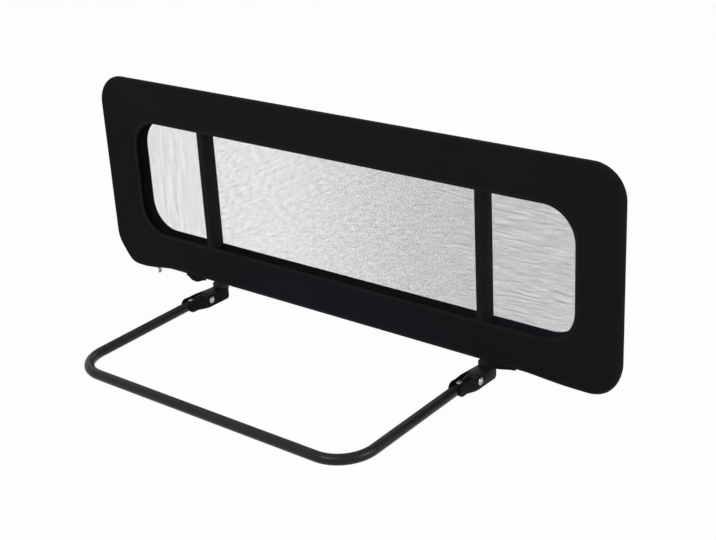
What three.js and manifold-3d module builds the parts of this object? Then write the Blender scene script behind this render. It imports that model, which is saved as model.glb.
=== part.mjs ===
// Folding bed guard rail.
// A long fabric-covered rail stands on two hinged posts. A bent tube lies flat under the
// mattress, and the rail folds inwards onto it. X runs along the rail, -Y points under the
// mattress and +Z is up. Lengths are in millimetres. Places are first given from the lower
// edge of the cover in the plane of the frame loop, and the last group moves them so that
// the origin is the bottom centre of the whole guard.

import * as THREE from 'three';
import { mergeVertices } from 'three/addons/utils/BufferGeometryUtils.js';
import Module from 'manifold-3d';

const wasm = await Module();
wasm.setup();

// Driving dimensions of the whole guard
const railLength = 1200;
const railHeight = 398;
const standHeight = 44;
const hingeInset = 274;
const baseReach = 375;

// Clearances and shared small sizes
const seatGap = 0.3;
const runningGap = 0.5;
const overrun = 10;

// Frame loop: four tubes that plug into each other
const loopTube = 19;
const loopWall = 1.2;
const endTubeRun = 159;
const spigotTube = 16;
const spigotWall = 1.2;
const spigotReach = 45;
const spigotRoot = 6;

// Posts
const postTube = 16;
const postWall = 1.2;
const postHeadroom = 29.3;

// Cover: border of cloth round the loop, a net in front and one behind
const clothThickness = 1.2;
const coverCornerRadius = 60;
const borderSide = 86;
const borderTop = 85;
const borderBottom = 71.5;
const windowCornerRadius = 62;
const windowFrontSink = 8;
const backSlack = 0.8;
const shoulderInset = 28;
const netThickness = 0.9;
const bandWidth = 15;
const bandThickness = 1;
const postExitWidth = 20;
const postExitHeight = 34;

// Loose flap of cloth under the cover's edge beside each knuckle
const flapNear = 19;
const flapLength = 55;
const flapDeepDrop = 12;
const flapShallowDrop = 2;
const flapThickness = 1.2;
const flapForward = 6;

// Base tube
const baseTube = 19;
const baseWall = 1.2;
const baseCornerRadius = 66;
const legRise = 9;
const legEnd = 42;

// Hinge bracket: a pressed channel, open at the top
const bracketWidth = 30;
const bracketPlate = 2;
const bracketNoseGap = 0.5;
const bracketRear = 22;
const bracketRearRise = 22;
const bracketCornerRadius = 6;
const bracketNoseForward = 75;
const bracketNoseRadius = 12;
const bracketFlatForward = 36;
const bracketTaperForward = 44;
const bracketRampForward = 64;
const bracketTongueForward = 80;

// Pivot, on the bed side of the loop so that the folded rail clears the legs
const pivotForward = 27;
const pivotHeight = 13.5;
const pivotShank = 8;
const pivotHead = 13.5;
const pivotHeadRise = 3;
const bushWall = 1.8;

// Knuckle: the moulded foot of a post
const footWidth = 25;
const neckWidth = 28;
const neckDepth = 24;
const neckCornerRadius = 9;
const neckTopGap = 1.2;
const socketFloor = 29;
const heelTaperRise = 16;
const heelTaperInset = 10.8;

// Rivets and screws
const legRivetForward = 70;
const legRivetShank = 6;
const legRivetHead = 11;
const legRivetRise = 1.9;
const neckRivetDrop = 10.5;
const neckRivetShank = 5;
const neckRivetHead = 9;
const neckRivetRise = 1.4;
const railScrewShank = 5;
const railScrewHead = 9;
const railScrewRise = 2;
const railScrewBite = 8;
const saddleScrewShank = 4;
const saddleScrewHead = 8;
const saddleScrewRise = 2.2;
const saddleScrewReach = 15;
const headSkirt = 1.6;

// Saddle that joins a post's top to the top rail
const saddleWidth = 20;
const saddlePlate = 8;
const saddleSpigotReach = 22;
const saddleFront = 6.5;
const saddleShoulder = 0.8;
const saddleBackInset = 13.5;

// Snap clips in the spigots
const clipReach = 38;
const clipWidth = 6;
const clipStrip = 0.8;
const clipSeat = 5.6;
const clipBend = 3;
const clipArm = 8;
const leafRun = 28;
const leafRise = 7.2;
const leafGap = 1;
const snapButton = 6;
const snapButtonRise = 2.2;
const snapButtonRun = 25;

// Plug in a leg's open end
const plugFlange = 1.5;
const plugReach = 14;

// Zip along the lower edge of the cover
const zipEndInset = 106;
const zipWidth = 6;
const zipThickness = 1.9;
const zipStopLength = 4;
const zipStopWidth = 8;
const zipStopThickness = 3;
const sliderParkGap = 1;
const sliderLength = 10;
const sliderWidth = 9.2;
const sliderPlate = 2.8;
const sliderLug = 1.3;
const sliderLugDrop = 3.8;
const pullerPin = 1.6;
const pullerEye = 4.6;
const pullerWidth = 5;
const pullerLength = 11;
const pullerGripWidth = 8;
const pullerGripLength = 6.5;
const pullerThickness = 1.4;

// Counts that set how finely round shapes are drawn
const tubeSides = 16;
const bendSteps = 6;
const headSides = 14;
const domeSteps = 3;

const edgeSteps = 8;

// Places that follow from the sizes above
const loopInset = loopTube / 2 + seatGap + clothThickness;
const loopHalf = railLength / 2 - loopInset;
const loopJoint = loopHalf - endTubeRun;
const loopLow = loopInset;
const loopHigh = railHeight - loopInset;
const loopCornerRadius = coverCornerRadius - loopInset;
const hingeSpread = railLength / 2 - hingeInset;
const postY = loopTube / 2 + seatGap + postTube / 2;
const postTop = railHeight - postHeadroom;
const floorZ = -standHeight;
const barZ = floorZ + baseTube / 2;
const legSlope = legRise / baseReach;
const legZ = (y) => barZ + legRise + legSlope * y;
const pivotY = -pivotForward;
const zipHalfLength = railLength / 2 - zipEndInset;
const sliderPlace = zipHalfLength - sliderLength / 2 - sliderParkGap;
const pivotZ = floorZ + pivotHeight;
const knuckleBottom = floorZ + bracketPlate + seatGap;
const knuckleRadius = pivotZ - knuckleBottom;
const windowFrontY = -loopInset + windowFrontSink;
const coverBackY = postY + postTube / 2 + backSlack + clothThickness;
const windowHalf = railLength / 2 - borderSide;
const windowLow = borderBottom;
const windowHigh = railHeight - borderTop;
const neckBack = postY + neckDepth / 2;
const bracketGap = bracketWidth - 2 * bracketPlate;
const bracketNoseWidth = baseTube + 2 * (bracketNoseGap + bracketPlate);

// Materials
const material = (color, roughness, metalness) =>
  new THREE.MeshStandardMaterial({ color, roughness, metalness });
const blackPaint = material(0x111112, 0.38, 0.5);
const blackSteel = material(0x141415, 0.5, 0.5);
const blackPlastic = material(0x161617, 0.55, 0);
const brightSteel = material(0xc9cbcd, 0.28, 1);
const springSteel = material(0x8f9296, 0.35, 1);
const blackCloth = material(0x131314, 0.85, 0);
const bandCloth = material(0x1b1b1d, 0.8, 0);
const paleNet = material(0xdfe1e3, 0.9, 0);
const greyPlastic = material(0x8b8d90, 0.5, 0);

// Turns a closed geometry into a solid that can be cut and joined
function toSolid(geometry) {
  const bare = geometry.clone();
  bare.deleteAttribute('normal');
  bare.deleteAttribute('uv');
  const merged = mergeVertices(bare);
  const triVerts = new Uint32Array(merged.index.array);
  const vertProperties = new Float32Array(merged.attributes.position.array);
  if (signedVolume(vertProperties, triVerts) < 0) {
    for (let i = 0; i < triVerts.length; i += 3) {
      [triVerts[i + 1], triVerts[i + 2]] = [triVerts[i + 2], triVerts[i + 1]];
    }
  }
  return new wasm.Manifold(new wasm.Mesh({ numProp: 3, vertProperties, triVerts }));
}

// Six times the volume, negative where the faces point inwards
function signedVolume(positions, triangles) {
  const corners = [new THREE.Vector3(), new THREE.Vector3(), new THREE.Vector3()];
  let total = 0;
  for (let i = 0; i < triangles.length; i += 3) {
    corners.forEach((corner, k) => corner.fromArray(positions, 3 * triangles[i + k]));
    total += corners[0].dot(corners[1].clone().cross(corners[2]));
  }
  return total;
}

// Turns a solid back into a geometry
function toGeometry(solid) {
  const { vertProperties, triVerts } = solid.getMesh();
  const geometry = new THREE.BufferGeometry();
  geometry.setAttribute('position', new THREE.Float32BufferAttribute(vertProperties, 3));
  geometry.setIndex(new THREE.Uint32BufferAttribute(triVerts, 1));
  geometry.computeVertexNormals();
  return geometry;
}

// Joins some geometries and then cuts others out of the result
function shape(joined, cuts = []) {
  let solid = toSolid(joined[0]);
  joined.slice(1).forEach((geometry) => {
    solid = solid.add(toSolid(geometry));
  });
  cuts.forEach((geometry) => {
    solid = solid.subtract(toSolid(geometry));
  });
  return toGeometry(solid);
}

// Keeps only what two geometries share
function common(first, second) {
  return toGeometry(toSolid(first).intersect(toSolid(second)));
}

function piece(name, geometry, finish) {
  const mesh = new THREE.Mesh(geometry, finish);
  mesh.name = name;
  return mesh;
}

// Turns a geometry whose axis is Y so that the axis is X or Z
const alongX = (geometry) => geometry.rotateZ(-Math.PI / 2);
const alongZ = (geometry) => geometry.rotateX(Math.PI / 2);

function rod(diameter, length, sides = tubeSides) {
  return new THREE.CylinderGeometry(diameter / 2, diameter / 2, length, sides);
}

function block(x0, x1, y0, y1, z0, z1) {
  const geometry = new THREE.BoxGeometry(x1 - x0, y1 - y0, z1 - z0);
  return geometry.translate((x0 + x1) / 2, (y0 + y1) / 2, (z0 + z1) / 2);
}

// A straight tube along Y from start to end, open at both ends
function straightTube(diameter, wall, start, end) {
  const outer = diameter / 2;
  const inner = outer - wall;
  const profile = [
    new THREE.Vector2(inner, start),
    new THREE.Vector2(outer, start),
    new THREE.Vector2(outer, end),
    new THREE.Vector2(inner, end),
    new THREE.Vector2(inner, start),
  ];
  return new THREE.LatheGeometry(profile, tubeSides);
}

// A path given by chosen stations, so that straight runs need no steps
class StationPath extends THREE.Curve {
  constructor(points, tangents) {
    super();
    this.points = points;
    this.tangents = tangents;
  }

  station(list, share) {
    return list[Math.round(share * (list.length - 1))].clone();
  }

  getPoint(share) {
    return this.station(this.points, share);
  }

  getPointAt(share) {
    return this.station(this.points, share);
  }

  getTangent(share) {
    return this.station(this.tangents, share);
  }

  getTangentAt(share) {
    return this.station(this.tangents, share);
  }
}

// Path through the corner points with each inner corner bent to the radius
function bentPath(corners, radius) {
  const points = [];
  const tangents = [];
  const add = (point, tangent) => {
    points.push(point);
    tangents.push(tangent);
  };
  const heading = (from, to) => to.clone().sub(from).normalize();
  add(corners[0], heading(corners[0], corners[1]));
  for (let i = 1; i < corners.length - 1; i += 1) {
    const before = heading(corners[i - 1], corners[i]);
    const after = heading(corners[i], corners[i + 1]);
    const turn = before.angleTo(after);
    const inward = after.clone().addScaledVector(before, -Math.cos(turn)).normalize();
    const start = corners[i].clone().addScaledVector(before, -radius * Math.tan(turn / 2));
    for (let k = 0; k <= bendSteps; k += 1) {
      const angle = (turn * k) / bendSteps;
      const point = start.clone().addScaledVector(before, radius * Math.sin(angle));
      point.addScaledVector(inward, radius * (1 - Math.cos(angle)));
      const tangent = before.clone().multiplyScalar(Math.cos(angle));
      tangent.addScaledVector(inward, Math.sin(angle));
      add(point, tangent);
    }
  }
  const last = corners.length - 1;
  add(corners[last], heading(corners[last - 1], corners[last]));
  return new StationPath(points, tangents);
}

function sweptRod(diameter, path) {
  const section = new THREE.Shape();
  for (let i = 0; i < tubeSides; i += 1) {
    const angle = (2 * Math.PI * i) / tubeSides;
    const x = (diameter / 2) * Math.cos(angle);
    const y = (diameter / 2) * Math.sin(angle);
    if (i === 0) section.moveTo(x, y);
    else section.lineTo(x, y);
  }
  section.closePath();
  return new THREE.ExtrudeGeometry(section, {
    steps: path.points.length - 1,
    extrudePath: path,
  });
}

// Side outline in Y and Z, extruded along X about a centre
function sideExtrude(outline, width, centreX) {
  const geometry = new THREE.ExtrudeGeometry(outline, {
    depth: width,
    bevelEnabled: false,
    curveSegments: edgeSteps,
  });
  const basis = new THREE.Matrix4().makeBasis(
    new THREE.Vector3(0, 1, 0),
    new THREE.Vector3(0, 0, 1),
    new THREE.Vector3(1, 0, 0),
  );
  return geometry.applyMatrix4(basis).translate(centreX - width / 2, 0, 0);
}

// Front outline in X and Z, extruded from the back plane towards the bed
function frontExtrude(outline, depth, backY) {
  const geometry = new THREE.ExtrudeGeometry(outline, {
    depth,
    bevelEnabled: false,
    curveSegments: bendSteps,
  });
  const basis = new THREE.Matrix4().makeBasis(
    new THREE.Vector3(1, 0, 0),
    new THREE.Vector3(0, 0, 1),
    new THREE.Vector3(0, -1, 0),
  );
  return geometry.applyMatrix4(basis).translate(0, backY, 0);
}

// Rounded rectangle as a list of points, the same number for every size
function roundedRectangle(x0, x1, z0, z1, radius) {
  const centres = [
    [x1 - radius, z0 + radius, -Math.PI / 2],
    [x1 - radius, z1 - radius, 0],
    [x0 + radius, z1 - radius, Math.PI / 2],
    [x0 + radius, z0 + radius, Math.PI],
  ];
  const points = [];
  centres.forEach(([x, z, first]) => {
    for (let k = 0; k <= bendSteps; k += 1) {
      const angle = first + ((Math.PI / 2) * k) / bendSteps;
      points.push(new THREE.Vector2(x + radius * Math.cos(angle), z + radius * Math.sin(angle)));
    }
  });
  return points;
}

// Profile of a low dome from its rim to the axis, about a seat at the height
function dome(radius, rise, height, direction) {
  const points = [];
  for (let k = 0; k <= domeSteps; k += 1) {
    const angle = ((Math.PI / 2) * k) / domeSteps;
    const y = height + direction * rise * Math.sin(angle);
    points.push(new THREE.Vector2(radius * Math.cos(angle), y));
  }
  points[domeSteps].x = 0;
  return points;
}

// A rivet along Y with a domed head past each end of its grip
function domedRivet(shank, head, rise, grip) {
  const low = dome(head / 2, rise, -grip / 2, -1).reverse();
  const high = dome(head / 2, rise, grip / 2, 1);
  const profile = [
    ...low,
    new THREE.Vector2(shank / 2, -grip / 2),
    new THREE.Vector2(shank / 2, grip / 2),
    ...high,
  ];
  return new THREE.LatheGeometry(profile, headSides);
}

// A domed head at zero height on a shank that hangs down along Y
function domedScrew(shank, head, rise, length) {
  const profile = [
    new THREE.Vector2(0, -length),
    new THREE.Vector2(shank / 2, -length),
    new THREE.Vector2(shank / 2, 0),
    ...dome(head / 2, rise, 0, 1),
  ];
  return new THREE.LatheGeometry(profile, headSides);
}

// The same screw with a skirt under its head that fits round a tube along X
function seatedScrew(shank, head, rise, length, seatDiameter) {
  const profile = [
    new THREE.Vector2(0, -headSkirt),
    new THREE.Vector2(head / 2, -headSkirt),
    ...dome(head / 2, rise, 0, 1),
  ];
  const cap = new THREE.LatheGeometry(profile, headSides);
  const seat = alongX(rod(seatDiameter + 2 * seatGap, head + 2 * overrun));
  seat.translate(0, -seatDiameter / 2, 0);
  const fitted = shape([cap], [seat]);
  const stem = rod(shank, length, headSides).translate(0, -length / 2 + seatGap, 0);
  return shape([fitted, stem]);
}

// Base: one bent tube, whose legs rise a little from the bar to the hinges
function basePath(extra) {
  const rear = -legEnd + extra;
  const corners = [
    new THREE.Vector3(-hingeSpread, rear, legZ(rear)),
    new THREE.Vector3(-hingeSpread, -baseReach, legZ(-baseReach)),
    new THREE.Vector3(hingeSpread, -baseReach, legZ(-baseReach)),
    new THREE.Vector3(hingeSpread, rear, legZ(rear)),
  ];
  return bentPath(corners, baseCornerRadius);
}

function makeBaseTube() {
  const holes = [-1, 1].map((side) => {
    const hole = alongZ(rod(legRivetShank + 2 * seatGap, 3 * baseTube, headSides));
    return hole.translate(side * hingeSpread, -legRivetForward, legZ(-legRivetForward));
  });
  const bore = sweptRod(baseTube - 2 * baseWall, basePath(overrun));
  return shape([sweptRod(baseTube, basePath(0))], [bore, ...holes]);
}

// Under a leg's tube, where the channel carries it
const tongueTop = legZ(-bracketTongueForward) - baseTube / 2 - seatGap;

function bracketOutline() {
  const noseY = -bracketNoseForward;
  const noseZ = legZ(noseY);
  const noseBottom = noseZ - bracketNoseRadius;
  const rearTop = floorZ + bracketRearRise;
  const outline = new THREE.Shape();
  outline.moveTo(-bracketFlatForward, floorZ);
  outline.lineTo(bracketRear - bracketCornerRadius, floorZ);
  outline.absarc(
    bracketRear - bracketCornerRadius,
    floorZ + bracketCornerRadius,
    bracketCornerRadius,
    -Math.PI / 2,
    0,
  );
  outline.lineTo(bracketRear, rearTop - bracketCornerRadius);
  outline.absarc(
    bracketRear - bracketCornerRadius,
    rearTop - bracketCornerRadius,
    bracketCornerRadius,
    0,
    Math.PI / 2,
  );
  outline.absarc(noseY, noseZ, bracketNoseRadius, Math.PI / 2, (3 * Math.PI) / 2);
  outline.lineTo(-bracketRampForward, noseBottom);
  outline.closePath();
  return outline;
}

// Plan of a bracket drawn in towards its nose, at a distance inside its outer faces
function bracketPlan(centreX, inside) {
  const rear = bracketWidth / 2 - inside;
  const nose = bracketNoseWidth / 2 - inside;
  const back = bracketRear + 2 * overrun;
  const front = -bracketNoseForward - 3 * bracketNoseRadius;
  const half = [
    [rear, back],
    [rear, -bracketTaperForward],
    [nose, -bracketRampForward],
    [nose, front],
  ];
  const right = half.map(([x, y]) => new THREE.Vector2(centreX + x, y));
  const left = half.map(([x, y]) => new THREE.Vector2(centreX - x, y)).reverse();
  const outline = new THREE.Shape([...right, ...left]);
  const depth = 2 * standHeight;
  return new THREE.ExtrudeGeometry(outline, { depth, bevelEnabled: false }).translate(0, 0, -depth);
}

function makeBracket(side) {
  const centreX = side * hingeSpread;
  const block = sideExtrude(bracketOutline(), bracketWidth, centreX);
  const plates = common(block, bracketPlan(centreX, 0));
  const hollow = new THREE.Shape();
  hollow.moveTo(bracketRear + overrun, floorZ + bracketPlate);
  hollow.lineTo(bracketRear + overrun, overrun);
  hollow.lineTo(-bracketNoseForward - 2 * bracketNoseRadius, overrun);
  hollow.lineTo(-bracketNoseForward - 2 * bracketNoseRadius, floorZ);
  hollow.lineTo(-bracketTongueForward, floorZ);
  hollow.lineTo(-bracketTongueForward, tongueTop);
  hollow.lineTo(-bracketRampForward, tongueTop);
  hollow.lineTo(-bracketFlatForward - bracketPlate, floorZ + bracketPlate);
  hollow.closePath();
  const inside = sideExtrude(hollow, bracketGap, centreX);
  const channel = common(inside, bracketPlan(centreX, bracketPlate));
  const pivotHole = alongX(rod(pivotShank + 2 * seatGap, bracketWidth + 2 * overrun, headSides));
  pivotHole.translate(centreX, pivotY, pivotZ);
  const rivetHole = alongZ(rod(legRivetShank + 2 * seatGap, baseTube, headSides));
  rivetHole.translate(centreX, -legRivetForward, tongueTop);
  return shape([plates], [channel, pivotHole, rivetHole]);
}

// Upright rivet through a leg and the floor of its bracket
function makeLegRivet(side) {
  const top = legZ(-legRivetForward) + baseTube / 2;
  const underside = legZ(-bracketNoseForward) - bracketNoseRadius;
  const length = top - underside + seatGap;
  const upper = seatedScrew(legRivetShank, legRivetHead, legRivetRise, length, baseTube);
  upper.rotateY(Math.PI / 2);
  const lower = domedScrew(legRivetShank, legRivetHead, legRivetRise, length / 2);
  lower.rotateX(Math.PI).translate(0, -length, 0);
  const rivet = alongZ(shape([upper, lower]));
  return rivet.translate(side * hingeSpread, -legRivetForward, top + seatGap);
}

function makeLegPlug(side) {
  const bore = baseTube - 2 * baseWall - 2 * seatGap;
  const plug = shape([
    rod(baseTube, plugFlange).translate(0, plugFlange / 2, 0),
    rod(bore, plugReach).translate(0, (plugFlange - plugReach) / 2, 0),
  ]);
  plug.rotateX(Math.atan(legSlope));
  return plug.translate(side * hingeSpread, -legEnd + seatGap, legZ(-legEnd));
}

function makePivotRivet(side) {
  const grip = bracketWidth + 2 * seatGap;
  const rivet = alongX(domedRivet(pivotShank, pivotHead, pivotHeadRise, grip));
  return rivet.translate(side * hingeSpread, pivotY, pivotZ);
}

function makePivotBush(side) {
  const inner = pivotShank + 2 * seatGap;
  const half = bracketGap / 2 - seatGap;
  const bush = alongX(straightTube(inner + 2 * bushWall, bushWall, -half, half));
  return bush.translate(side * hingeSpread, pivotY, pivotZ);
}

// Side outline of a knuckle: a round nose at the pivot, a flat heel and a block for the neck
function knuckleOutline() {
  const neckFront = postY - neckDepth / 2;
  const neckBase = pivotZ + knuckleRadius;
  const outline = new THREE.Shape();
  outline.moveTo(pivotY, knuckleBottom);
  outline.lineTo(neckBack - heelTaperInset, knuckleBottom);
  outline.lineTo(neckBack, knuckleBottom + heelTaperRise);
  outline.lineTo(neckBack, neckBase + neckCornerRadius);
  outline.lineTo(neckFront, neckBase + neckCornerRadius);
  outline.lineTo(neckFront, neckBase);
  outline.lineTo(pivotY, neckBase);
  outline.absarc(pivotY, pivotZ, knuckleRadius, Math.PI / 2, (3 * Math.PI) / 2);
  outline.closePath();
  return outline;
}

// Upright block with rounded corners, between two heights
function uprightBlock(x0, x1, y0, y1, radius, z0, z1) {
  const outline = new THREE.Shape(roundedRectangle(x0, x1, y0, y1, radius));
  const geometry = new THREE.ExtrudeGeometry(outline, { depth: z1 - z0, bevelEnabled: false });
  return geometry.translate(0, 0, z0);
}

function makeKnuckle(side) {
  const centreX = side * hingeSpread;
  const narrow = (neckWidth - footWidth) / 2;
  const outline = sideExtrude(knuckleOutline(), footWidth, centreX);
  const plan = uprightBlock(
    centreX - footWidth / 2,
    centreX + footWidth / 2,
    pivotY - 2 * knuckleRadius,
    neckBack - narrow,
    neckCornerRadius - narrow,
    floorZ,
    overrun,
  );
  const neck = uprightBlock(
    centreX - neckWidth / 2,
    centreX + neckWidth / 2,
    postY - neckDepth / 2,
    neckBack,
    neckCornerRadius,
    pivotZ + knuckleRadius,
    -neckTopGap,
  );
  const socketTop = overrun;
  const socket = alongZ(rod(postTube + 2 * seatGap, socketTop + socketFloor + seatGap));
  socket.translate(centreX, postY, (socketTop - socketFloor - seatGap) / 2);
  const bushHole = pivotShank + 2 * seatGap + 2 * bushWall + 2 * seatGap;
  const bore = alongX(rod(bushHole, bracketWidth + 2 * overrun));
  bore.translate(centreX, pivotY, pivotZ);
  const cross = alongX(rod(neckRivetShank + 2 * seatGap, neckWidth + 2 * overrun, headSides));
  cross.translate(centreX, postY, -neckRivetDrop);
  return shape([common(outline, plan), neck], [socket, bore, cross]);
}

function makeNeckRivet(side) {
  const grip = neckWidth + 2 * seatGap;
  const rivet = alongX(domedRivet(neckRivetShank, neckRivetHead, neckRivetRise, grip));
  return rivet.translate(side * hingeSpread, postY, -neckRivetDrop);
}

function makePost(side) {
  const tube = alongZ(straightTube(postTube, postWall, -socketFloor, postTop));
  const cross = alongX(rod(neckRivetShank + 2 * seatGap, 2 * postTube, headSides));
  cross.translate(0, 0, -neckRivetDrop);
  const screwHole = rod(railScrewShank + 2 * seatGap, 2 * postTube, headSides);
  screwHole.translate(0, 0, loopLow);
  return shape([tube], [cross, screwHole]).translate(side * hingeSpread, postY, 0);
}

// Screw that holds a post against the bottom rail, driven from behind
function makeRailScrew(side) {
  const length = postTube + seatGap + railScrewBite;
  const screw = seatedScrew(railScrewShank, railScrewHead, railScrewRise, length, postTube);
  screw.rotateY(Math.PI / 2);
  return screw.translate(side * hingeSpread, postY + postTube / 2 + seatGap, loopLow);
}

// Saddle: a plug in a post's top end and a cradle under the top rail
function makeSaddle(side) {
  const bottom = postTop + seatGap;
  const back = postY + postTube / 2;
  const outline = new THREE.Shape();
  outline.moveTo(-saddleFront, bottom);
  outline.lineTo(back, bottom);
  outline.lineTo(back, bottom + saddleShoulder);
  outline.lineTo(back - saddleBackInset, bottom + saddlePlate + saddleSpigotReach / 4);
  outline.lineTo(-saddleFront, bottom + saddlePlate);
  outline.closePath();
  const body = sideExtrude(outline, saddleWidth, 0);
  const cradle = alongX(rod(loopTube + 2 * seatGap, saddleWidth + 2 * overrun));
  cradle.translate(0, 0, loopHigh);
  const plugSize = postTube - 2 * postWall - 2 * seatGap;
  const plug = alongZ(rod(plugSize, saddleSpigotReach + saddleShoulder));
  plug.translate(0, postY, bottom + saddleShoulder / 2 - saddleSpigotReach / 2);
  const hole = alongZ(rod(saddleScrewShank + 2 * seatGap, 2 * loopTube, headSides));
  hole.translate(0, 0, bottom);
  return shape([body, plug], [cradle, hole]).translate(side * hingeSpread, 0, 0);
}

function makeSaddleScrew(side) {
  const screw = domedScrew(saddleScrewShank, saddleScrewHead, saddleScrewRise, saddleScrewReach);
  screw.rotateX(-Math.PI / 2);
  return screw.translate(side * hingeSpread, 0, postTop);
}

// Button hole in a rail or a spigot, towards the middle of the loop
function snapHole(side, height, inward) {
  const hole = alongZ(rod(snapButton + 2 * runningGap, loopTube, headSides));
  return hole.translate(side * (loopJoint - snapButtonRun), 0, height + (inward * loopTube) / 2);
}

function makeRail(height, inward, drill) {
  const tube = alongX(straightTube(loopTube, loopWall, -loopJoint, loopJoint));
  tube.translate(0, 0, height);
  const holes = [-1, 1].flatMap((side) => [snapHole(side, height, inward), drill(side)]);
  return shape([tube], holes);
}

function makeBottomRail() {
  return makeRail(loopLow, 1, (side) => {
    const hole = rod(railScrewShank + 2 * seatGap, loopTube, headSides);
    return hole.translate(side * hingeSpread, loopTube / 2, loopLow);
  });
}

function makeTopRail() {
  return makeRail(loopHigh, -1, (side) => {
    const hole = alongZ(rod(saddleScrewShank + 2 * seatGap, loopTube, headSides));
    return hole.translate(side * hingeSpread, 0, loopHigh - loopTube / 2);
  });
}

// End of the loop: a bent tube with a narrower spigot at each end
function endPath(side, extra) {
  const mouth = loopJoint + seatGap - extra;
  const corners = [
    new THREE.Vector3(side * mouth, 0, loopLow),
    new THREE.Vector3(side * loopHalf, 0, loopLow),
    new THREE.Vector3(side * loopHalf, 0, loopHigh),
    new THREE.Vector3(side * mouth, 0, loopHigh),
  ];
  return bentPath(corners, loopCornerRadius);
}

function makeEndTube(side) {
  const mouth = loopJoint + seatGap;
  const tip = loopJoint - spigotReach;
  const outer = sweptRod(loopTube, endPath(side, 0));
  const bore = sweptRod(loopTube - 2 * loopWall, endPath(side, overrun));
  const shell = shape([outer], [bore]);
  const spigots = [loopLow, loopHigh].flatMap((height) => {
    const sleeve = straightTube(spigotTube, spigotWall, tip, mouth + spigotRoot);
    const collarWall = (loopTube - loopWall - spigotTube) / 2 + spigotWall;
    const collar = straightTube(loopTube - loopWall, collarWall, mouth, mouth + spigotRoot);
    return [sleeve, collar].map((tube) => {
      const turned = side > 0 ? alongX(tube) : tube.rotateZ(Math.PI / 2);
      return turned.translate(0, 0, height);
    });
  });
  const holes = [snapHole(side, loopLow, 1), snapHole(side, loopHigh, -1)];
  return shape([shell, ...spigots], holes);
}

// The leaf of a snap clip rises along a slope from the bend at the clip's end
const leafTurnZ = clipBend - clipSeat;
const leafAngle = Math.atan(leafRise / leafRun);

// A length of the sloping leaf, between two distances from the bend
function leafStrip(start, end) {
  const strip = block(-end, -start, -clipWidth / 2, clipWidth / 2, 0, clipStrip);
  return strip.rotateY(leafAngle).translate(0, 0, leafTurnZ);
}

// Fixed half of a snap clip: a strip on the spigot's wall, its bend and the leaf's root
function makeClip(side, height, inward) {
  const wide = clipWidth / 2;
  const strip = block(-clipReach, 0, -wide, wide, -clipSeat, clipStrip - clipSeat);
  const bend = block(-clipStrip, 0, -wide, wide, -clipSeat, leafTurnZ + clipStrip);
  return placeClip(shape([strip, bend, leafStrip(0, clipArm)]), side, height, inward);
}

// Clip pieces are drawn along +X with the button upwards, then turned into their spigot
function placeClip(geometry, side, height, inward) {
  if (inward < 0) geometry.rotateX(Math.PI);
  if (side < 0) geometry.rotateZ(Math.PI);
  return geometry.translate(side * loopJoint, 0, height);
}

// Moving half of a snap clip: the end of the sprung leaf and its button
function makeSnapButton(side, height, inward) {
  const leaf = leafStrip(clipArm + leafGap, leafRun);
  const rim = loopTube / 2;
  const foot = leafTurnZ + (leafRise * snapButtonRun) / leafRun;
  const button = domedScrew(snapButton, snapButton, snapButtonRise, rim - foot);
  alongZ(button).translate(-snapButtonRun, 0, rim);
  return placeClip(shape([leaf, button]), side, height, inward);
}

// Cover border: rings of rounded rectangles, from the front edge of the window over the
// loop to the back edge of the window, and back again inside the cloth
function coverRing({ side, top, bottom, radius, y }) {
  const half = railLength / 2 - side;
  const points = roundedRectangle(-half, half, bottom, railHeight - top, radius);
  return points.map((point) => new THREE.Vector3(point.x, y, point.y));
}

const evenRing = (inset, y) => ({
  side: inset,
  top: inset,
  bottom: inset,
  radius: coverCornerRadius - inset,
  y,
});

const windowRing = (y) => ({
  side: borderSide,
  top: borderTop,
  bottom: borderBottom,
  radius: windowCornerRadius,
  y,
});

// Angle on a circle about the loop where a straight sheet from the far point leaves it
function leaveAngle(farInset, farY, radius, turn) {
  const run = farInset - loopInset;
  const reach = Math.hypot(run, farY);
  return Math.atan2(farY, run) + turn * Math.acos(radius / reach);
}

function coverSection(frontY, backY, shoulder, radius) {
  const front = leaveAngle(borderSide, frontY, radius, -1);
  const back = leaveAngle(shoulder, backY, radius, 1);
  const rings = [windowRing(frontY)];
  const sweep = front + 2 * Math.PI - back;
  for (let k = 0; k <= edgeSteps; k += 1) {
    const angle = front - (sweep * k) / edgeSteps;
    rings.push(evenRing(loopInset + radius * Math.cos(angle), radius * Math.sin(angle)));
  }
  rings.push(evenRing(shoulder, backY), windowRing(backY));
  return rings;
}

function makeCover() {
  const outerRadius = loopInset;
  const outer = coverSection(windowFrontY, coverBackY, shoulderInset, outerRadius);
  const slant = Math.atan2(coverBackY, shoulderInset);
  const innerShoulder = shoulderInset + clothThickness * Math.tan(slant / 2);
  const inner = coverSection(
    windowFrontY + clothThickness,
    coverBackY - clothThickness,
    innerShoulder,
    outerRadius - clothThickness,
  ).reverse();
  const rings = [...outer, ...inner].map(coverRing);
  const count = rings[0].length;
  const positions = rings.flat().flatMap((point) => point.toArray());
  const index = [];
  rings.forEach((ring, i) => {
    const next = (i + 1) % rings.length;
    ring.forEach((point, k) => {
      const after = (k + 1) % count;
      const corners = [i * count + k, i * count + after, next * count + after, next * count + k];
      index.push(corners[0], corners[1], corners[2], corners[0], corners[2], corners[3]);
    });
  });
  const geometry = new THREE.BufferGeometry();
  geometry.setAttribute('position', new THREE.Float32BufferAttribute(positions, 3));
  geometry.setIndex(index);
  const exits = [-1, 1].map((side) => {
    const x = side * hingeSpread;
    const front = postY - postTube / 2 - seatGap;
    const half = postExitWidth / 2;
    return block(x - half, x + half, front, coverBackY + overrun, -overrun, postExitHeight);
  });
  return shape([geometry], exits);
}

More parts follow.
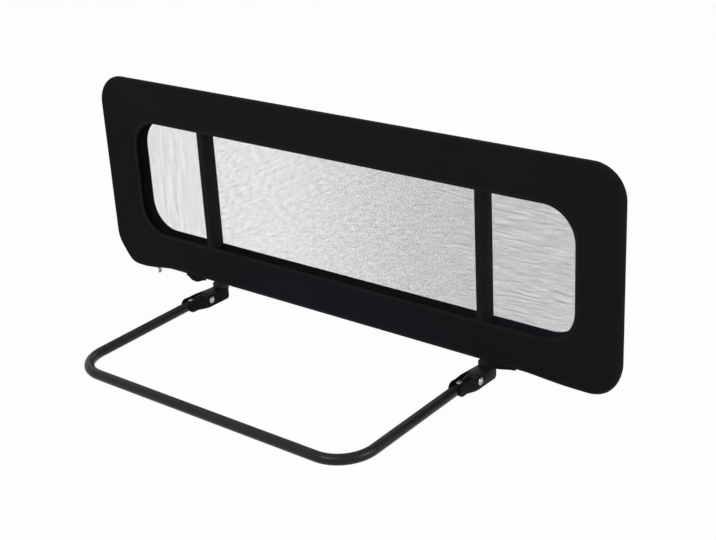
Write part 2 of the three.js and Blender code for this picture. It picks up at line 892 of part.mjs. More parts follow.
function makeNet(backY) {
  const points = roundedRectangle(
    -windowHalf + seatGap,
    windowHalf - seatGap,
    windowLow + seatGap,
    windowHigh - seatGap,
    windowCornerRadius - seatGap,
  );
  return frontExtrude(new THREE.Shape(points), netThickness, backY);
}

function makeBand(side, backY) {
  const x = side * hingeSpread;
  const half = bandWidth / 2;
  const low = windowLow + seatGap;
  const high = windowHigh - seatGap;
  return block(x - half, x + half, backY - bandThickness, backY, low, high);
}

// Flap beside a knuckle, on its outer side, deeper at its end towards -X
function makeFlap(side) {
  const backY = -flapForward + flapThickness / 2;
  const edge = loopLow - Math.sqrt(loopInset ** 2 - backY ** 2) - seatGap;
  const near = side * (hingeSpread + flapNear);
  const far = near + side * flapLength;
  const low = Math.min(near, far);
  const high = Math.max(near, far);
  const outline = new THREE.Shape();
  outline.moveTo(low, -flapDeepDrop);
  outline.lineTo(high, -flapShallowDrop);
  outline.lineTo(high, edge);
  outline.lineTo(low, edge);
  outline.closePath();
  return frontExtrude(outline, flapThickness, backY);
}

// Zip parts hang just under the cover's lower edge
const zipTop = -seatGap;
const zipBottom = zipTop - zipThickness;
const sliderBottom = zipBottom - sliderPlate;
const pullerZ = sliderBottom - sliderLugDrop + pullerPin / 2 + seatGap;

function makeZipChain() {
  return block(-zipHalfLength, zipHalfLength, -zipWidth / 2, zipWidth / 2, zipBottom, zipTop);
}

function makeZipStop(side) {
  const inner = side * (zipHalfLength + seatGap);
  const outer = inner + side * zipStopLength;
  const half = zipStopWidth / 2;
  return block(
    Math.min(inner, outer),
    Math.max(inner, outer),
    -half,
    half,
    zipTop - zipStopThickness,
    zipTop,
  );
}

function makeZipSlider() {
  const half = sliderLength / 2;
  const wide = sliderWidth / 2;
  const body = block(-half, half, -wide, wide, sliderBottom, zipTop - seatGap);
  const groove = zipWidth / 2 + seatGap;
  const channel = block(-sliderLength, sliderLength, -groove, groove, zipBottom - seatGap, 0);
  const lugBottom = sliderBottom - sliderLugDrop;
  const lugHalf = pullerEye / 2;
  const lugs = [-1, 1].map((side) => {
    const outer = side * (pullerWidth / 2 + seatGap + sliderLug);
    const inner = side * (pullerWidth / 2 + seatGap);
    const low = Math.min(inner, outer);
    const high = Math.max(inner, outer);
    return block(-lugHalf, lugHalf, low, high, lugBottom, zipBottom - seatGap);
  });
  const pin = rod(pullerPin, pullerWidth + 2 * sliderLug, headSides).translate(0, 0, pullerZ);
  return shape([body, ...lugs, pin], [channel]).translate(-sliderPlace, 0, 0);
}

function makeZipPuller() {
  const eye = rod(pullerEye, pullerWidth, headSides);
  const half = pullerThickness / 2;
  const wide = pullerWidth / 2;
  const tab = block(-half, half, -wide, wide, -pullerLength, 0);
  const gripHalf = pullerGripWidth / 2;
  const gripTop = pullerGripLength - pullerLength;
  const grip = block(-half, half, -gripHalf, gripHalf, -pullerLength, gripTop);
  const hole = rod(pullerPin + 2 * seatGap, 2 * pullerWidth, headSides);
  return shape([eye, tab, grip], [hole]).translate(-sliderPlace, 0, pullerZ);
}

// Assembly
const guard = new THREE.Group();
const rail = new THREE.Group();
const base = new THREE.Group();
guard.add(base, rail);

base.add(piece('base_tube', makeBaseTube(), blackPaint));
const hinges = [
  ['left', -1],
  ['right', 1],
];
hinges.forEach(([name, side]) => {
  base.add(
    piece(`hinge_bracket_${name}`, makeBracket(side), blackSteel),
    piece(`leg_rivet_${name}`, makeLegRivet(side), brightSteel),
    piece(`leg_end_plug_${name}`, makeLegPlug(side), blackPlastic),
    piece(`pivot_rivet_${name}`, makePivotRivet(side), brightSteel),
  );
  rail.add(
    piece(`hinge_knuckle_${name}`, makeKnuckle(side), blackPlastic),
    piece(`pivot_bush_${name}`, makePivotBush(side), springSteel),
    piece(`neck_rivet_${name}`, makeNeckRivet(side), blackSteel),
    piece(`post_${name}`, makePost(side), blackPaint),
    piece(`rail_screw_${name}`, makeRailScrew(side), blackSteel),
    piece(`post_saddle_${name}`, makeSaddle(side), blackPlastic),
    piece(`saddle_screw_${name}`, makeSaddleScrew(side), springSteel),
    piece(`end_tube_${name}`, makeEndTube(side), blackPaint),
    piece(`band_front_${name}`, makeBand(side, windowFrontY - seatGap), bandCloth),
    piece(`band_back_${name}`, makeBand(side, coverBackY + bandThickness + seatGap), bandCloth),
  );
  [
    ['bottom', loopLow, 1],
    ['top', loopHigh, -1],
  ].forEach(([level, height, inward]) => {
    rail.add(
      piece(`snap_clip_${level}_${name}`, makeClip(side, height, inward), springSteel),
      piece(`snap_button_${level}_${name}`, makeSnapButton(side, height, inward), springSteel),
    );
  });
  rail.add(
    piece(`zip_stop_${name}`, makeZipStop(side), greyPlastic),
    piece(`neck_flap_${name}`, makeFlap(side), blackCloth),
  );
});
rail.add(
  piece('top_rail', makeTopRail(), blackPaint),
  piece('bottom_rail', makeBottomRail(), blackPaint),
  piece('cover_border', makeCover(), blackCloth),
  piece('net_front', makeNet(windowFrontY + netThickness), paleNet),
  piece('net_back', makeNet(coverBackY), paleNet),
  piece('zip_chain', makeZipChain(), blackPlastic),
  piece('zip_slider', makeZipSlider(), greyPlastic),
  piece('zip_puller', makeZipPuller(), greyPlastic),
);

const frontEdge = -baseReach - baseTube / 2;
guard.position.set(0, -(frontEdge + neckBack) / 2, standHeight);

export default guard;
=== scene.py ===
"""Folding bed guard rail, dressed for pictures.

A long rail of two black cloth panels with net windows stands on two hinged posts. A bent
tube base lies under the mattress. Lengths are metres in the row frame: +X runs along the
rail, -Y points towards the bed and +Z is up.
"""

import logging
import math
from dataclasses import dataclass, field
from enum import Enum
from functools import cached_property
from typing import Callable, Iterable, Sequence

import bmesh
import bpy
from mathutils import Matrix, Vector, noise


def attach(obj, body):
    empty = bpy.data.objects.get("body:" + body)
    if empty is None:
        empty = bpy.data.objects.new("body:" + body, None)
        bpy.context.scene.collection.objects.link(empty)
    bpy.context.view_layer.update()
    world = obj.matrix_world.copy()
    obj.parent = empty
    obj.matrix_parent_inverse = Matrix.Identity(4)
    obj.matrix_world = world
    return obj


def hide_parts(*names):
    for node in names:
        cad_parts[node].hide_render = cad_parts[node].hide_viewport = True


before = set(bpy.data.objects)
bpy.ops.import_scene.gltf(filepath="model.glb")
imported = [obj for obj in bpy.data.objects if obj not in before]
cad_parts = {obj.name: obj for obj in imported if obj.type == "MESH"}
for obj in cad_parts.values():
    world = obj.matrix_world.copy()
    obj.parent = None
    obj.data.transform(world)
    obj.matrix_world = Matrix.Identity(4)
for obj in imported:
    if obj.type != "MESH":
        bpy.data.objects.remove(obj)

log = logging.getLogger("bed_guard")

MM = 0.001
TOUCH = 1e-5
AXIS_X = Vector((1, 0, 0))
AXIS_Y = Vector((0, 1, 0))
AXIS_Z = Vector((0, 0, 1))

Piece = bpy.types.Object
Socket = bpy.types.NodeSocket
Spot = tuple[float, float]
Trio = tuple[float, float, float]


class Tagged(Enum):
    """An option whose name goes into the names of its pieces."""

    @property
    def tag(self) -> str:
        """The word that the part's name holds."""
        return self.name.lower()


class Side(Tagged):
    """Which end of the rail a repeated part belongs to."""

    LEFT = -1
    RIGHT = 1


class Face(Tagged):
    """Which layer of the cover a part belongs to."""

    FRONT = -1
    BACK = 1


class Pick(Enum):
    """What kind of element is selected in edit mode."""

    VERT = "VERT"
    EDGE = "EDGE"
    FACE = "FACE"


# Shader recipes


def math_node(operation: str, swapped: bool = False) -> Callable[..., "Signal"]:
    """Makes a method that adds one Math node.

    Args:
        operation: The node's operation.
        swapped: Whether the other value comes first.

    Returns:
        The method.
    """

    def method(self: "Signal", *others: "Signal | float") -> "Signal":
        """Adds the node and gives its result.

        Args:
            others: The other values.

        Returns:
            The result.
        """
        inputs = (*others, self) if swapped else (self, *others)
        node = self.recipe.node("ShaderNodeMath", dict(enumerate(inputs)), operation=operation)
        return Signal(self.recipe, node.outputs[0])

    return method


@dataclass(frozen=True, eq=False)
class Signal:
    """A number that varies over a surface, written as sums in Python."""

    recipe: "Recipe"
    socket: Socket

    __add__ = __radd__ = math_node("ADD")
    __mul__ = __rmul__ = math_node("MULTIPLY")
    __sub__ = math_node("SUBTRACT")
    __rsub__ = math_node("SUBTRACT", swapped=True)
    __truediv__ = math_node("DIVIDE")
    __rtruediv__ = math_node("DIVIDE", swapped=True)
    __gt__ = math_node("GREATER_THAN")
    __lt__ = math_node("LESS_THAN")
    __abs__ = math_node("ABSOLUTE")
    sine = math_node("SINE")
    floor = math_node("FLOOR")
    fraction = math_node("FRACT")
    smaller = math_node("MINIMUM")
    larger = math_node("MAXIMUM")

    def ramp(self, low: float, high: float) -> "Signal":
        """Nought below one value and one above another, smooth between.

        Args:
            low: Where the ramp starts.
            high: Where the ramp ends.

        Returns:
            The ramped signal.
        """
        values = {"Value": self, "From Min": low, "From Max": high}
        node = self.recipe.node("ShaderNodeMapRange", values, interpolation_type="SMOOTHSTEP")
        return Signal(self.recipe, node.outputs["Result"])


@dataclass(frozen=True)
class Colour:
    """A colour in linear light."""

    red: float
    green: float
    blue: float

    @property
    def socket_value(self) -> tuple[float, float, float, float]:
        """The colour as a socket holds it."""
        return (self.red, self.green, self.blue, 1.0)


class Recipe:
    """The nodes of one material, or of the world."""

    def __init__(self, owner: bpy.types.Material | bpy.types.World) -> None:
        """Starts with an empty tree.

        Args:
            owner: What the nodes belong to.
        """
        self.owner = owner
        owner.use_nodes = True
        self.tree = owner.node_tree
        self.tree.nodes.clear()

    def node(self, kind: str, values: dict | None = None, **settings: object) -> bpy.types.Node:
        """Adds a node, sets it up and fills its inputs.

        Args:
            kind: The node's type.
            values: What goes into its inputs, by name or number.
            settings: The node's own settings, which are made first.

        Returns:
            The new node.
        """
        node = self.tree.nodes.new(kind)
        for key, value in settings.items():
            setattr(node, key, value)
        for key, value in (values or {}).items():
            value = value.socket if isinstance(value, Signal) else value
            if isinstance(value, Socket):
                self.tree.links.new(value, node.inputs[key])
            else:
                plain = value.socket_value if isinstance(value, Colour) else value
                node.inputs[key].default_value = plain
        return node

    def coordinates(self, source: str = "Object") -> tuple[Signal, Signal, Signal]:
        """The place on the surface, as three signals.

        Args:
            source: The output of the coordinate node to read.

        Returns:
            The three parts of the place.
        """
        place = self.node("ShaderNodeTexCoord").outputs[source]
        split = self.node("ShaderNodeSeparateXYZ", {"Vector": place})
        return tuple(Signal(self, split.outputs[axis]) for axis in "XYZ")

    def noise(self, x: Signal, y: Signal, z: Signal | float, detail: float = 2.0) -> Signal:
        """Soft noise over three scaled places.

        Args:
            x: The first place, already scaled.
            y: The second place, already scaled.
            z: The third place, already scaled.
            detail: How many finer layers the noise holds.

        Returns:
            The noise, about one half.
        """
        joined = self.node("ShaderNodeCombineXYZ", {"X": x, "Y": y, "Z": z})
        values = {"Vector": joined.outputs[0], "Scale": 1.0, "Detail": detail}
        return Signal(self, self.node("ShaderNodeTexNoise", values).outputs[0])

    def cloud(self, scale: float, detail: float) -> Signal:
        """Soft noise that is as fine along every axis."""
        return self.noise(*(axis * scale for axis in self.coordinates()), detail)

    def mixed(self, factor: Signal, first: Colour | Socket, second: Colour) -> Socket:
        """A colour between two.

        Args:
            factor: How far the colour is from the first.
            first: The colour at nought.
            second: The colour at one.

        Returns:
            The mixed colour's socket.
        """
        return self.node("ShaderNodeMix", {0: factor, 6: first, 7: second}, data_type="RGBA").outputs[2]

    def bump(self, height: Signal, distance: float, strength: float) -> Socket:
        """A normal from a height, with the distance in metres that a height of one stands for."""
        values = {"Height": height, "Distance": distance, "Strength": strength}
        return self.node("ShaderNodeBump", values).outputs["Normal"]

    def seen(self) -> Signal:
        """One for camera, glossy and transmission rays, and nought for others.

        Returns:
            The mask.
        """
        rays = self.node("ShaderNodeLightPath").outputs
        camera, glossy, clear = (
            Signal(self, rays[f"Is {kind} Ray"]) for kind in ("Camera", "Glossy", "Transmission")
        )
        return camera.larger(glossy).larger(clear)

    def surface(self, **values: object) -> bpy.types.Material:
        """Closes the recipe with its shader.

        Args:
            values: The shader's inputs, with underscores for spaces.

        Returns:
            The finished material.
        """
        named = {key.replace("_", " "): value for key, value in values.items()}
        shader = self.node("ShaderNodeBsdfPrincipled", named)
        self.node("ShaderNodeOutputMaterial", {"Surface": shader.outputs[0]})
        return self.owner


@dataclass(frozen=True)
class Finish:
    """The name of a finish's material, and the record's slot that it belongs to."""

    name: str = ""
    slot: str = ""

    @cached_property
    def recipe(self) -> Recipe:
        """The empty recipe of the material."""
        return Recipe(bpy.data.materials.new(self.name))

    @cached_property
    def material(self) -> bpy.types.Material:
        """The finished material, which each kind of finish makes."""
        raise NotImplementedError


@dataclass(frozen=True)
class PowderCoat(Finish):
    """Satin black powder coat with a fine orange-peel skin."""

    name: str = "powder_coat"
    slot: str = "black_paint"
    dark: Colour = Colour(0.0045, 0.0045, 0.0050)
    worn: Colour = Colour(0.0100, 0.0100, 0.0110)
    gloss_low: float = 0.30
    gloss_high: float = 0.42
    peel: float = 0.9 * MM
    shine: float = 0.22

    @cached_property
    def material(self) -> bpy.types.Material:
        """The finished material.

        Returns:
            The material.
        """
        recipe = self.recipe
        cloud = recipe.cloud(14.0, 4.0)
        return recipe.surface(
            Base_Color=recipe.mixed(cloud.ramp(0.35, 0.75), self.dark, self.worn),
            Roughness=cloud * (self.gloss_high - self.gloss_low) + self.gloss_low,
            Specular_IOR_Level=self.shine,
            Normal=recipe.bump(recipe.cloud(1 / self.peel, 1.0), 0.05 * MM, 0.35),
        )


@dataclass(frozen=True)
class Moulding(Finish):
    """Moulded plastic with a fine spark-eroded grain."""

    name: str = "black_moulding"
    slot: str = "black_plastic"
    dark: Colour = Colour(0.005, 0.005, 0.0055)
    light: Colour = Colour(0.010, 0.010, 0.0105)
    roughness: float = 0.48
    grain: float = 0.35 * MM
    shine: float = 0.2

    @cached_property
    def material(self) -> bpy.types.Material:
        """The finished material.

        Returns:
            The material.
        """
        recipe = self.recipe
        grain = recipe.cloud(1 / self.grain, 2.0)
        return recipe.surface(
            Base_Color=recipe.mixed(recipe.cloud(60.0, 3.0), self.dark, self.light),
            Roughness=grain * 0.14 + self.roughness,
            Specular_IOR_Level=self.shine,
            Normal=recipe.bump(grain, 0.04 * MM, 0.5),
        )


@dataclass(frozen=True)
class Plating(Finish):
    """Plated steel with faint turning marks."""

    name: str = "bright_plating"
    slot: str = "bright_steel"
    light: Colour = Colour(0.42, 0.425, 0.43)
    dull: Colour = Colour(0.24, 0.245, 0.25)
    roughness: float = 0.22

    @cached_property
    def material(self) -> bpy.types.Material:
        """The finished material.

        Returns:
            The material.
        """
        recipe = self.recipe
        x, y, z = recipe.coordinates()
        cloud = recipe.cloud(300.0, 3.0)
        marks = recipe.noise(x * 2500.0, y * 900.0, z * 2500.0, 1.0)
        return recipe.surface(
            Base_Color=recipe.mixed(cloud.ramp(0.4, 0.8), self.light, self.dull),
            Metallic=1.0,
            Roughness=cloud * 0.12 + self.roughness,
            Normal=recipe.bump(marks, 0.01 * MM, 0.4),
        )


@dataclass(frozen=True)
class Cloth(Finish):
    """Close woven black cloth, whose threads follow the piece's own map."""

    name: str = "woven_cloth"
    slot: str = "black_cloth"
    dark: Colour = Colour(0.0035, 0.0035, 0.0038)
    light: Colour = Colour(0.0090, 0.0090, 0.0095)
    # A painted bluish cast of light, mixed in low in the middle of the rail.
    painted_blue_cast: Colour = Colour(0.0070, 0.0072, 0.0125)
    sheen: Colour = Colour(0.9, 0.92, 1.0)
    thread: float = 0.7 * MM
    relief: float = 0.12 * MM
    roughness: float = 0.78
    mapped: bool = True

    def weave(self, across: Signal, along: Signal) -> Signal:
        """The height of a plain weave.

        Args:
            across: The place across the warp.
            along: The place along the warp.

        Returns:
            The height, from nought to one.
        """
        warp, weft = across / self.thread, along / self.thread
        over = ((warp.floor() + weft.floor()) * 0.5).fraction() > 0.25
        warp_crown, weft_crown = (abs((thread * math.pi).sine()) for thread in (warp, weft))
        return over * warp_crown + (1.0 - over) * weft_crown

    @cached_property
    def material(self) -> bpy.types.Material:
        """The finished material, with a painted bluish cast of light low in the middle of the rail.

        Returns:
            The material.
        """
        recipe = self.recipe
        x, _, z = recipe.coordinates()
        across, along = recipe.coordinates("UV")[:2] if self.mapped else (x, z)
        height = self.weave(across, along)
        cloud = recipe.cloud(9.0, 4.0)
        slub = recipe.noise(across * 30.0, along * 900.0, 0.0)
        tone = height * 0.35 + cloud * 0.4 + slub * 0.25
        shade = recipe.mixed(tone.ramp(0.2, 0.85), self.dark, self.light)
        # Mask of the painted bluish cast of light: low on the cover and near the middle of the rail.
        low = (1.0 - z.ramp(0.06, 0.15)) * (1.0 - abs(x).ramp(0.05, 0.42))
        return recipe.surface(
            Base_Color=recipe.mixed(low, shade, self.painted_blue_cast),
            Roughness=cloud * 0.15 + self.roughness,
            Specular_IOR_Level=0.07,
            Sheen_Weight=0.03,
            Sheen_Roughness=0.45,
            Sheen_Tint=self.sheen,
            Normal=recipe.bump(height, self.relief, 0.6),
        )


@dataclass(frozen=True)
class Net(Finish):
    """Fine net of thin dark threads, pale wherever white shows through it."""

    name: str = "front_net"
    slot: str = "pale_net"
    thread: Colour = Colour(0.010, 0.010, 0.011)
    # A painted lilac cast of light on the threads towards the right.
    painted_lilac_cast: Colour = Colour(0.022, 0.020, 0.040)
    pitch: float = 1.6 * MM
    left_cover: float = 0.066
    right_cover: float = 0.139
    ripple: float = 0.17
    tilt: float = 0.0

    @cached_property
    def material(self) -> bpy.types.Material:
        """The finished material, with waves that lie level, slant or stand along the rail.

        Returns:
            The material.
        """
        recipe = self.recipe
        x, _, z = recipe.coordinates()
        sway = (recipe.noise(x * 6.0, z * 9.0, 0.0, 1.0) - 0.5) * (0.5 * self.pitch)
        rise = (x * 0.94 + z * (1.0 + self.tilt) + sway) / self.pitch
        fall = (x * (0.94 + self.tilt) - z + sway) / self.pitch
        level = recipe.noise(x * 22.0, z * 260.0, 0.0)
        upright = recipe.noise(x * 150.0, z * 12.0, 0.0)
        slanted = recipe.noise((x + z * 0.7) * 45.0, (z - x * 0.5) * 150.0, 0.0)
        right = x.ramp(0.05, 0.36)
        left = 1.0 - x.ramp(-0.42, -0.30)
        streak = right * level + (1.0 - right) * (slanted * (1.0 - left) + upright * left)
        cover = x.ramp(-0.20, 0.30) * (self.right_cover - self.left_cover) + self.left_cover
        wide = ((streak - 0.5) * (right * 0.1 + self.ripple) + cover) * 0.5
        across, along = (abs(strand.fraction() - 0.5) for strand in (rise, fall))
        return recipe.surface(
            # The threads take the painted lilac cast of light towards the right.
            Base_Color=recipe.mixed(x.ramp(0.20, 0.50), self.thread, self.painted_lilac_cast),
            Roughness=streak * 0.1 + 0.75,
            Specular_IOR_Level=0.1,
            Alpha=across.smaller(along) < wide,
            Normal=recipe.bump(streak, 0.1 * MM, 0.3),
        )


@dataclass(frozen=True)
class Finishes:
    """Every finish of the guard."""

    powder: Finish = PowderCoat()
    pressed: Finish = PowderCoat(
        name="pressed_steel_paint",
        slot="black_steel",
        dark=Colour(0.003, 0.003, 0.0033),
        worn=Colour(0.006, 0.006, 0.0065),
        gloss_low=0.34,
        gloss_high=0.5,
        shine=0.05,
    )
    moulding: Finish = Moulding()
    grey: Finish = Moulding(
        name="grey_moulding",
        slot="grey_plastic",
        dark=Colour(0.42, 0.42, 0.44),
        light=Colour(0.52, 0.52, 0.54),
    )
    bright: Finish = Plating()
    spring: Finish = Plating(
        name="zinc_plating",
        light=Colour(0.52, 0.53, 0.55),
        dull=Colour(0.36, 0.37, 0.39),
        roughness=0.35,
    )
    cloth: Finish = Cloth()
    tape: Finish = Cloth(
        name="woven_tape",
        slot="band_cloth",
        dark=Colour(0.005, 0.005, 0.0053),
        light=Colour(0.013, 0.013, 0.0135),
        thread=1.1 * MM,
        relief=0.2 * MM,
        roughness=0.7,
        mapped=False,
    )
    front_net: Finish = Net()
    back_net: Finish = Net(name="back_net", tilt=0.03, pitch=1.27 * MM)


# The bench, whose tools are worked one after another as by hand


@dataclass(frozen=True)
class Line:
    """A straight stroke of a drawing."""

    reach: Vector

    def draw(self) -> None:
        """Extrudes what is selected along the stroke."""
        bpy.ops.mesh.extrude_region_move(TRANSFORM_OT_translate={"value": self.reach})


@dataclass(frozen=True)
class Bend:
    """A round stroke of a drawing, turned right-handed about its axis."""

    centre: Vector
    axis: Vector
    degrees: float
    steps: int = 8

    def draw(self) -> None:
        """Spins what is selected about the stroke's centre."""
        turn = -math.radians(self.degrees)
        bpy.ops.mesh.spin(steps=self.steps, angle=turn, center=self.centre, axis=self.axis)


Stroke = Line | Bend


def lines(places: Sequence[Vector]) -> list[Stroke]:
    """The straight strokes from place to place."""
    return [Line(after - before) for before, after in zip(places, places[1:])]


def hold(piece: Piece) -> None:
    """Selects one piece alone and makes it active.

    Args:
        piece: The piece.
    """
    bpy.ops.object.select_all(action="DESELECT")
    piece.select_set(True)
    bpy.context.view_layer.objects.active = piece


def settle(name: str) -> Piece:
    """Names the newest primitive and puts its place into its mesh.

    Args:
        name: The piece's name.

    Returns:
        The piece.
    """
    piece = bpy.context.active_object
    piece.name = name
    piece.data.name = name
    hold(piece)
    bpy.ops.object.transform_apply(location=True, rotation=True, scale=True)
    return piece


def block(name: str, centre: Sequence[float], size: Sequence[float]) -> Piece:
    """Adds a plain block, to be shaped further."""
    bpy.ops.mesh.primitive_cube_add(size=1, location=centre, scale=size)
    return settle(name)


def enter(piece: Piece) -> None:
    """Takes a piece into edit mode with all of it selected.

    Args:
        piece: The piece.
    """
    hold(piece)
    bpy.ops.object.mode_set(mode="EDIT")
    bpy.ops.mesh.select_mode(type="VERT")
    bpy.ops.mesh.select_all(action="SELECT")


def leave() -> None:
    """Leaves edit mode."""
    bpy.ops.object.mode_set(mode="OBJECT")


def pick(piece: Piece, kind: Pick, where: Callable[[Vector], bool]) -> None:
    """Selects the elements whose middle lies in a place.

    Args:
        piece: The piece in edit mode.
        kind: What is selected.
        where: The test for the place.
    """
    bpy.ops.mesh.select_mode(type=kind.value)
    bpy.ops.mesh.select_all(action="DESELECT")
    mesh = bmesh.from_edit_mesh(piece.data)
    if kind is Pick.FACE:
        found = [face for face in mesh.faces if where(face.calc_center_median())]
    elif kind is Pick.EDGE:
        found = [edge for edge in mesh.edges if where((edge.verts[0].co + edge.verts[1].co) / 2)]
    else:
        found = [vert for vert in mesh.verts if where(vert.co)]
    for element in found:
        element.select_set(True)
    mesh.select_flush_mode()
    bmesh.update_edit_mesh(piece.data)


def bevel_edges(piece: Piece, where: Callable[[Vector], bool], width: float, segments: int) -> None:
    """Bevels the edges whose middle lies in a place.

    Args:
        piece: The piece in edit mode.
        where: The test for the place.
        width: The bevel's width.
        segments: How many faces the bevel has.
    """
    pick(piece, Pick.EDGE, where)
    bpy.ops.mesh.bevel(offset=width, segments=segments, affect="EDGES", clamp_overlap=True)


def clean() -> None:
    """Merges doubles and turns the faces of the open piece outwards."""
    bpy.ops.mesh.select_mode(type="VERT")
    bpy.ops.mesh.select_all(action="SELECT")
    bpy.ops.mesh.remove_doubles(threshold=0.002 * MM)
    bpy.ops.mesh.normals_make_consistent(inside=False)


def apply(piece: Piece, kind: str, **settings: object) -> None:
    """Adds a modifier to a piece and applies it.

    Args:
        piece: The piece.
        kind: The modifier's type.
        settings: The modifier's settings.
    """
    hold(piece)
    modifier = piece.modifiers.new(kind.title(), kind)
    for key, value in settings.items():
        setattr(modifier, key, value)
    bpy.ops.object.modifier_apply(modifier=modifier.name)


def smooth(piece: Piece, degrees: float) -> None:
    """Shades a piece smooth up to an angle."""
    hold(piece)
    bpy.ops.object.shade_smooth_by_angle(angle=math.radians(degrees))


def rounded(piece: Piece, width: float, degrees: float = 40, segments: int = 2) -> None:
    """Bevels a piece's sharp edges and shades it smooth.

    Args:
        piece: The piece.
        width: The bevel's width.
        degrees: The angle past which an edge is sharp.
        segments: How many faces the bevel has.
    """
    limit = math.radians(degrees)
    apply(piece, "BEVEL", width=width, segments=segments, limit_method="ANGLE", angle_limit=limit)
    smooth(piece, 50)


def combine(piece: Piece, tool: Piece, operation: str = "DIFFERENCE") -> None:
    """Takes a tool's shape out of a piece, or adds it, and puts the tool away.

    Args:
        piece: The piece.
        tool: The shape that is cut out or added.
        operation: The kind of boolean.
    """
    apply(piece, "BOOLEAN", operation=operation, object=tool, solver="EXACT")
    bpy.data.objects.remove(tool, do_unlink=True)


def drill(piece: Piece, centre: Vector, axis: Vector, size: float, depth: float) -> None:
    """Drills a round hole.

    Args:
        piece: The piece.
        centre: The middle of the hole.
        axis: The hole's axis.
        size: The hole's diameter.
        depth: The hole's length.
    """
    turn = axis.to_track_quat("Z", "Y").to_euler()
    bpy.ops.mesh.primitive_cylinder_add(
        vertices=32, radius=size / 2, depth=depth, location=centre, rotation=turn
    )
    combine(piece, settle("drill"))


def pipe(name: str, start: Vector, heading: Vector, diameter: float, strokes: Sequence[Stroke]) -> Piece:
    """Draws a round tube along strokes and gives it a wall.

    Args:
        name: The piece's name.
        start: The middle of its first end.
        heading: Where it sets out to.
        diameter: Its outer size.
        strokes: Its straight and bent lengths.

    Returns:
        The tube.
    """
    wall, sides = 1.2 * MM, 40
    turn = heading.to_track_quat("Z", "Y").to_euler()
    bpy.ops.mesh.primitive_circle_add(
        vertices=sides, radius=diameter / 2, fill_type="NOTHING", location=start, rotation=turn
    )
    piece = settle(name)
    enter(piece)
    for stroke in strokes:
        stroke.draw()
    clean()
    leave()
    apply(piece, "SOLIDIFY", thickness=wall, offset=-1.0, use_even_offset=True)
    smooth(piece, 40)
    return piece


def sketch(name: str, start: Vector, strokes: Sequence[Stroke], threshold: float) -> Piece:
    """Draws strokes from one point and leaves them selected in edit mode.

    Args:
        name: The piece's name.
        start: The first point.
        strokes: The strokes.
        threshold: How near two points are merged.

    Returns:
        The drawn line.
    """
    bpy.ops.mesh.primitive_plane_add(size=MM, location=start)
    piece = settle(name)
    enter(piece)
    bpy.ops.mesh.merge(type="CENTER")
    for stroke in strokes:
        stroke.draw()
    bpy.ops.mesh.select_all(action="SELECT")
    bpy.ops.mesh.remove_doubles(threshold=threshold)
    return piece


def slab(name: str, start: Vector, strokes: Sequence[Stroke], thickness: float) -> Piece:
    """Draws a closed shape, fills it and extrudes it along X.

    Args:
        name: The piece's name.
        start: The first point.
        strokes: The strokes back to the first point.
        thickness: How thick the slab is.

    Returns:
        The slab.
    """
    piece = sketch(name, start, strokes, 0.01 * MM)
    bpy.ops.mesh.edge_face_add()
    Line(AXIS_X * thickness).draw()
    clean()
    leave()
    return piece


def turned(name: str, start: Vector, strokes: Sequence[Stroke], axis: Vector) -> Piece:
    """Draws half a section from the axis and turns it all the way round.

    Args:
        name: The piece's name.
        start: A point on the axis.
        strokes: The strokes of the half section.
        axis: The axis that it is turned about.

    Returns:
        The turned solid.
    """
    piece = sketch(name, start, strokes, 0.002 * MM)
    Bend(start, axis, 360.0, steps=32).draw()
    clean()
    leave()
    smooth(piece, 35)
    return piece


@dataclass(frozen=True)
class Rivet:
    """The sizes of a rivet with a domed head past each end of its grip."""

    shank: float
    head: float
    rise: float
    rim: float = 0.3 * MM

    def turn(self, name: str, seats: tuple[Vector, Vector], skirts: Spot = (0.0, 0.0)) -> Piece:
        """Turns the rivet.

        Args:
            name: The piece's name.
            seats: The seats of the low and the high head.
            skirts: How deep each head reaches back over its seat, where that is past its rim.

        Returns:
            The rivet.
        """
        low, high = seats
        low_rim, high_rim = (max(skirt, self.rim) for skirt in skirts)
        axis = (high - low).normalized()
        out = axis.orthogonal().normalized()
        half, rise = self.head / 2, self.rise
        ball = (half * half + rise * rise) / (2 * rise)
        spread = math.degrees(math.asin(min(1.0, half / ball)))
        step = half - self.shank / 2
        swing = axis.cross(out)
        strokes = [
            Bend(high + axis * (rise - ball), swing, spread),
            Line(-axis * high_rim),
            Line(-out * step),
            Line(-axis * ((high - low).length - high_rim - low_rim)),
            Line(out * step),
            Line(-axis * low_rim),
            Bend(low - axis * (rise - ball), swing, spread),
        ]
        return turned(name, high + axis * rise, strokes, axis)


def join(pieces: Sequence[Piece]) -> Piece:
    """Joins pieces into the first.

    Args:
        pieces: The pieces to join.

    Returns:
        The first piece, which now holds all.
    """
    hold(pieces[0])
    for piece in pieces:
        piece.select_set(True)
    bpy.ops.object.join()
    return pieces[0]


def mirrored(piece: Piece, name: str) -> Piece:
    """Copies a piece to the other side of the middle.

    Args:
        piece: The piece to copy.
        name: The copy's name.

    Returns:
        The copy, with its own mesh.
    """
    copy = piece.copy()
    copy.data = piece.data.copy()
    copy.name = name
    copy.data.name = name
    bpy.context.collection.objects.link(copy)
    enter(copy)
    bpy.ops.transform.resize(value=(-1, 1, 1), center_override=(0, 0, 0))
    bpy.ops.mesh.flip_normals()
    leave()
    return copy


def dress(piece: Piece, finish: Finish, body: str, *nodes: str, slot: str = "") -> Piece:
    """Paints a finished piece and fixes it to its body.

    Args:
        piece: The finished piece.
        finish: The finish that it gets.
        body: The body that it rides on.
        nodes: The plain nodes that it stands for.
        slot: The record's slot, where it isn't the finish's own; not used.

    Returns:
        The same piece.
    """
    piece.data.materials.clear()
    piece.data.materials.append(finish.material)
    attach(piece, body)
    slot or finish.slot
    if nodes:
        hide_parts(*nodes)
    log.info("made %s, %d faces, on %s", piece.name, len(piece.data.polygons), body)
    return piece


# The frame


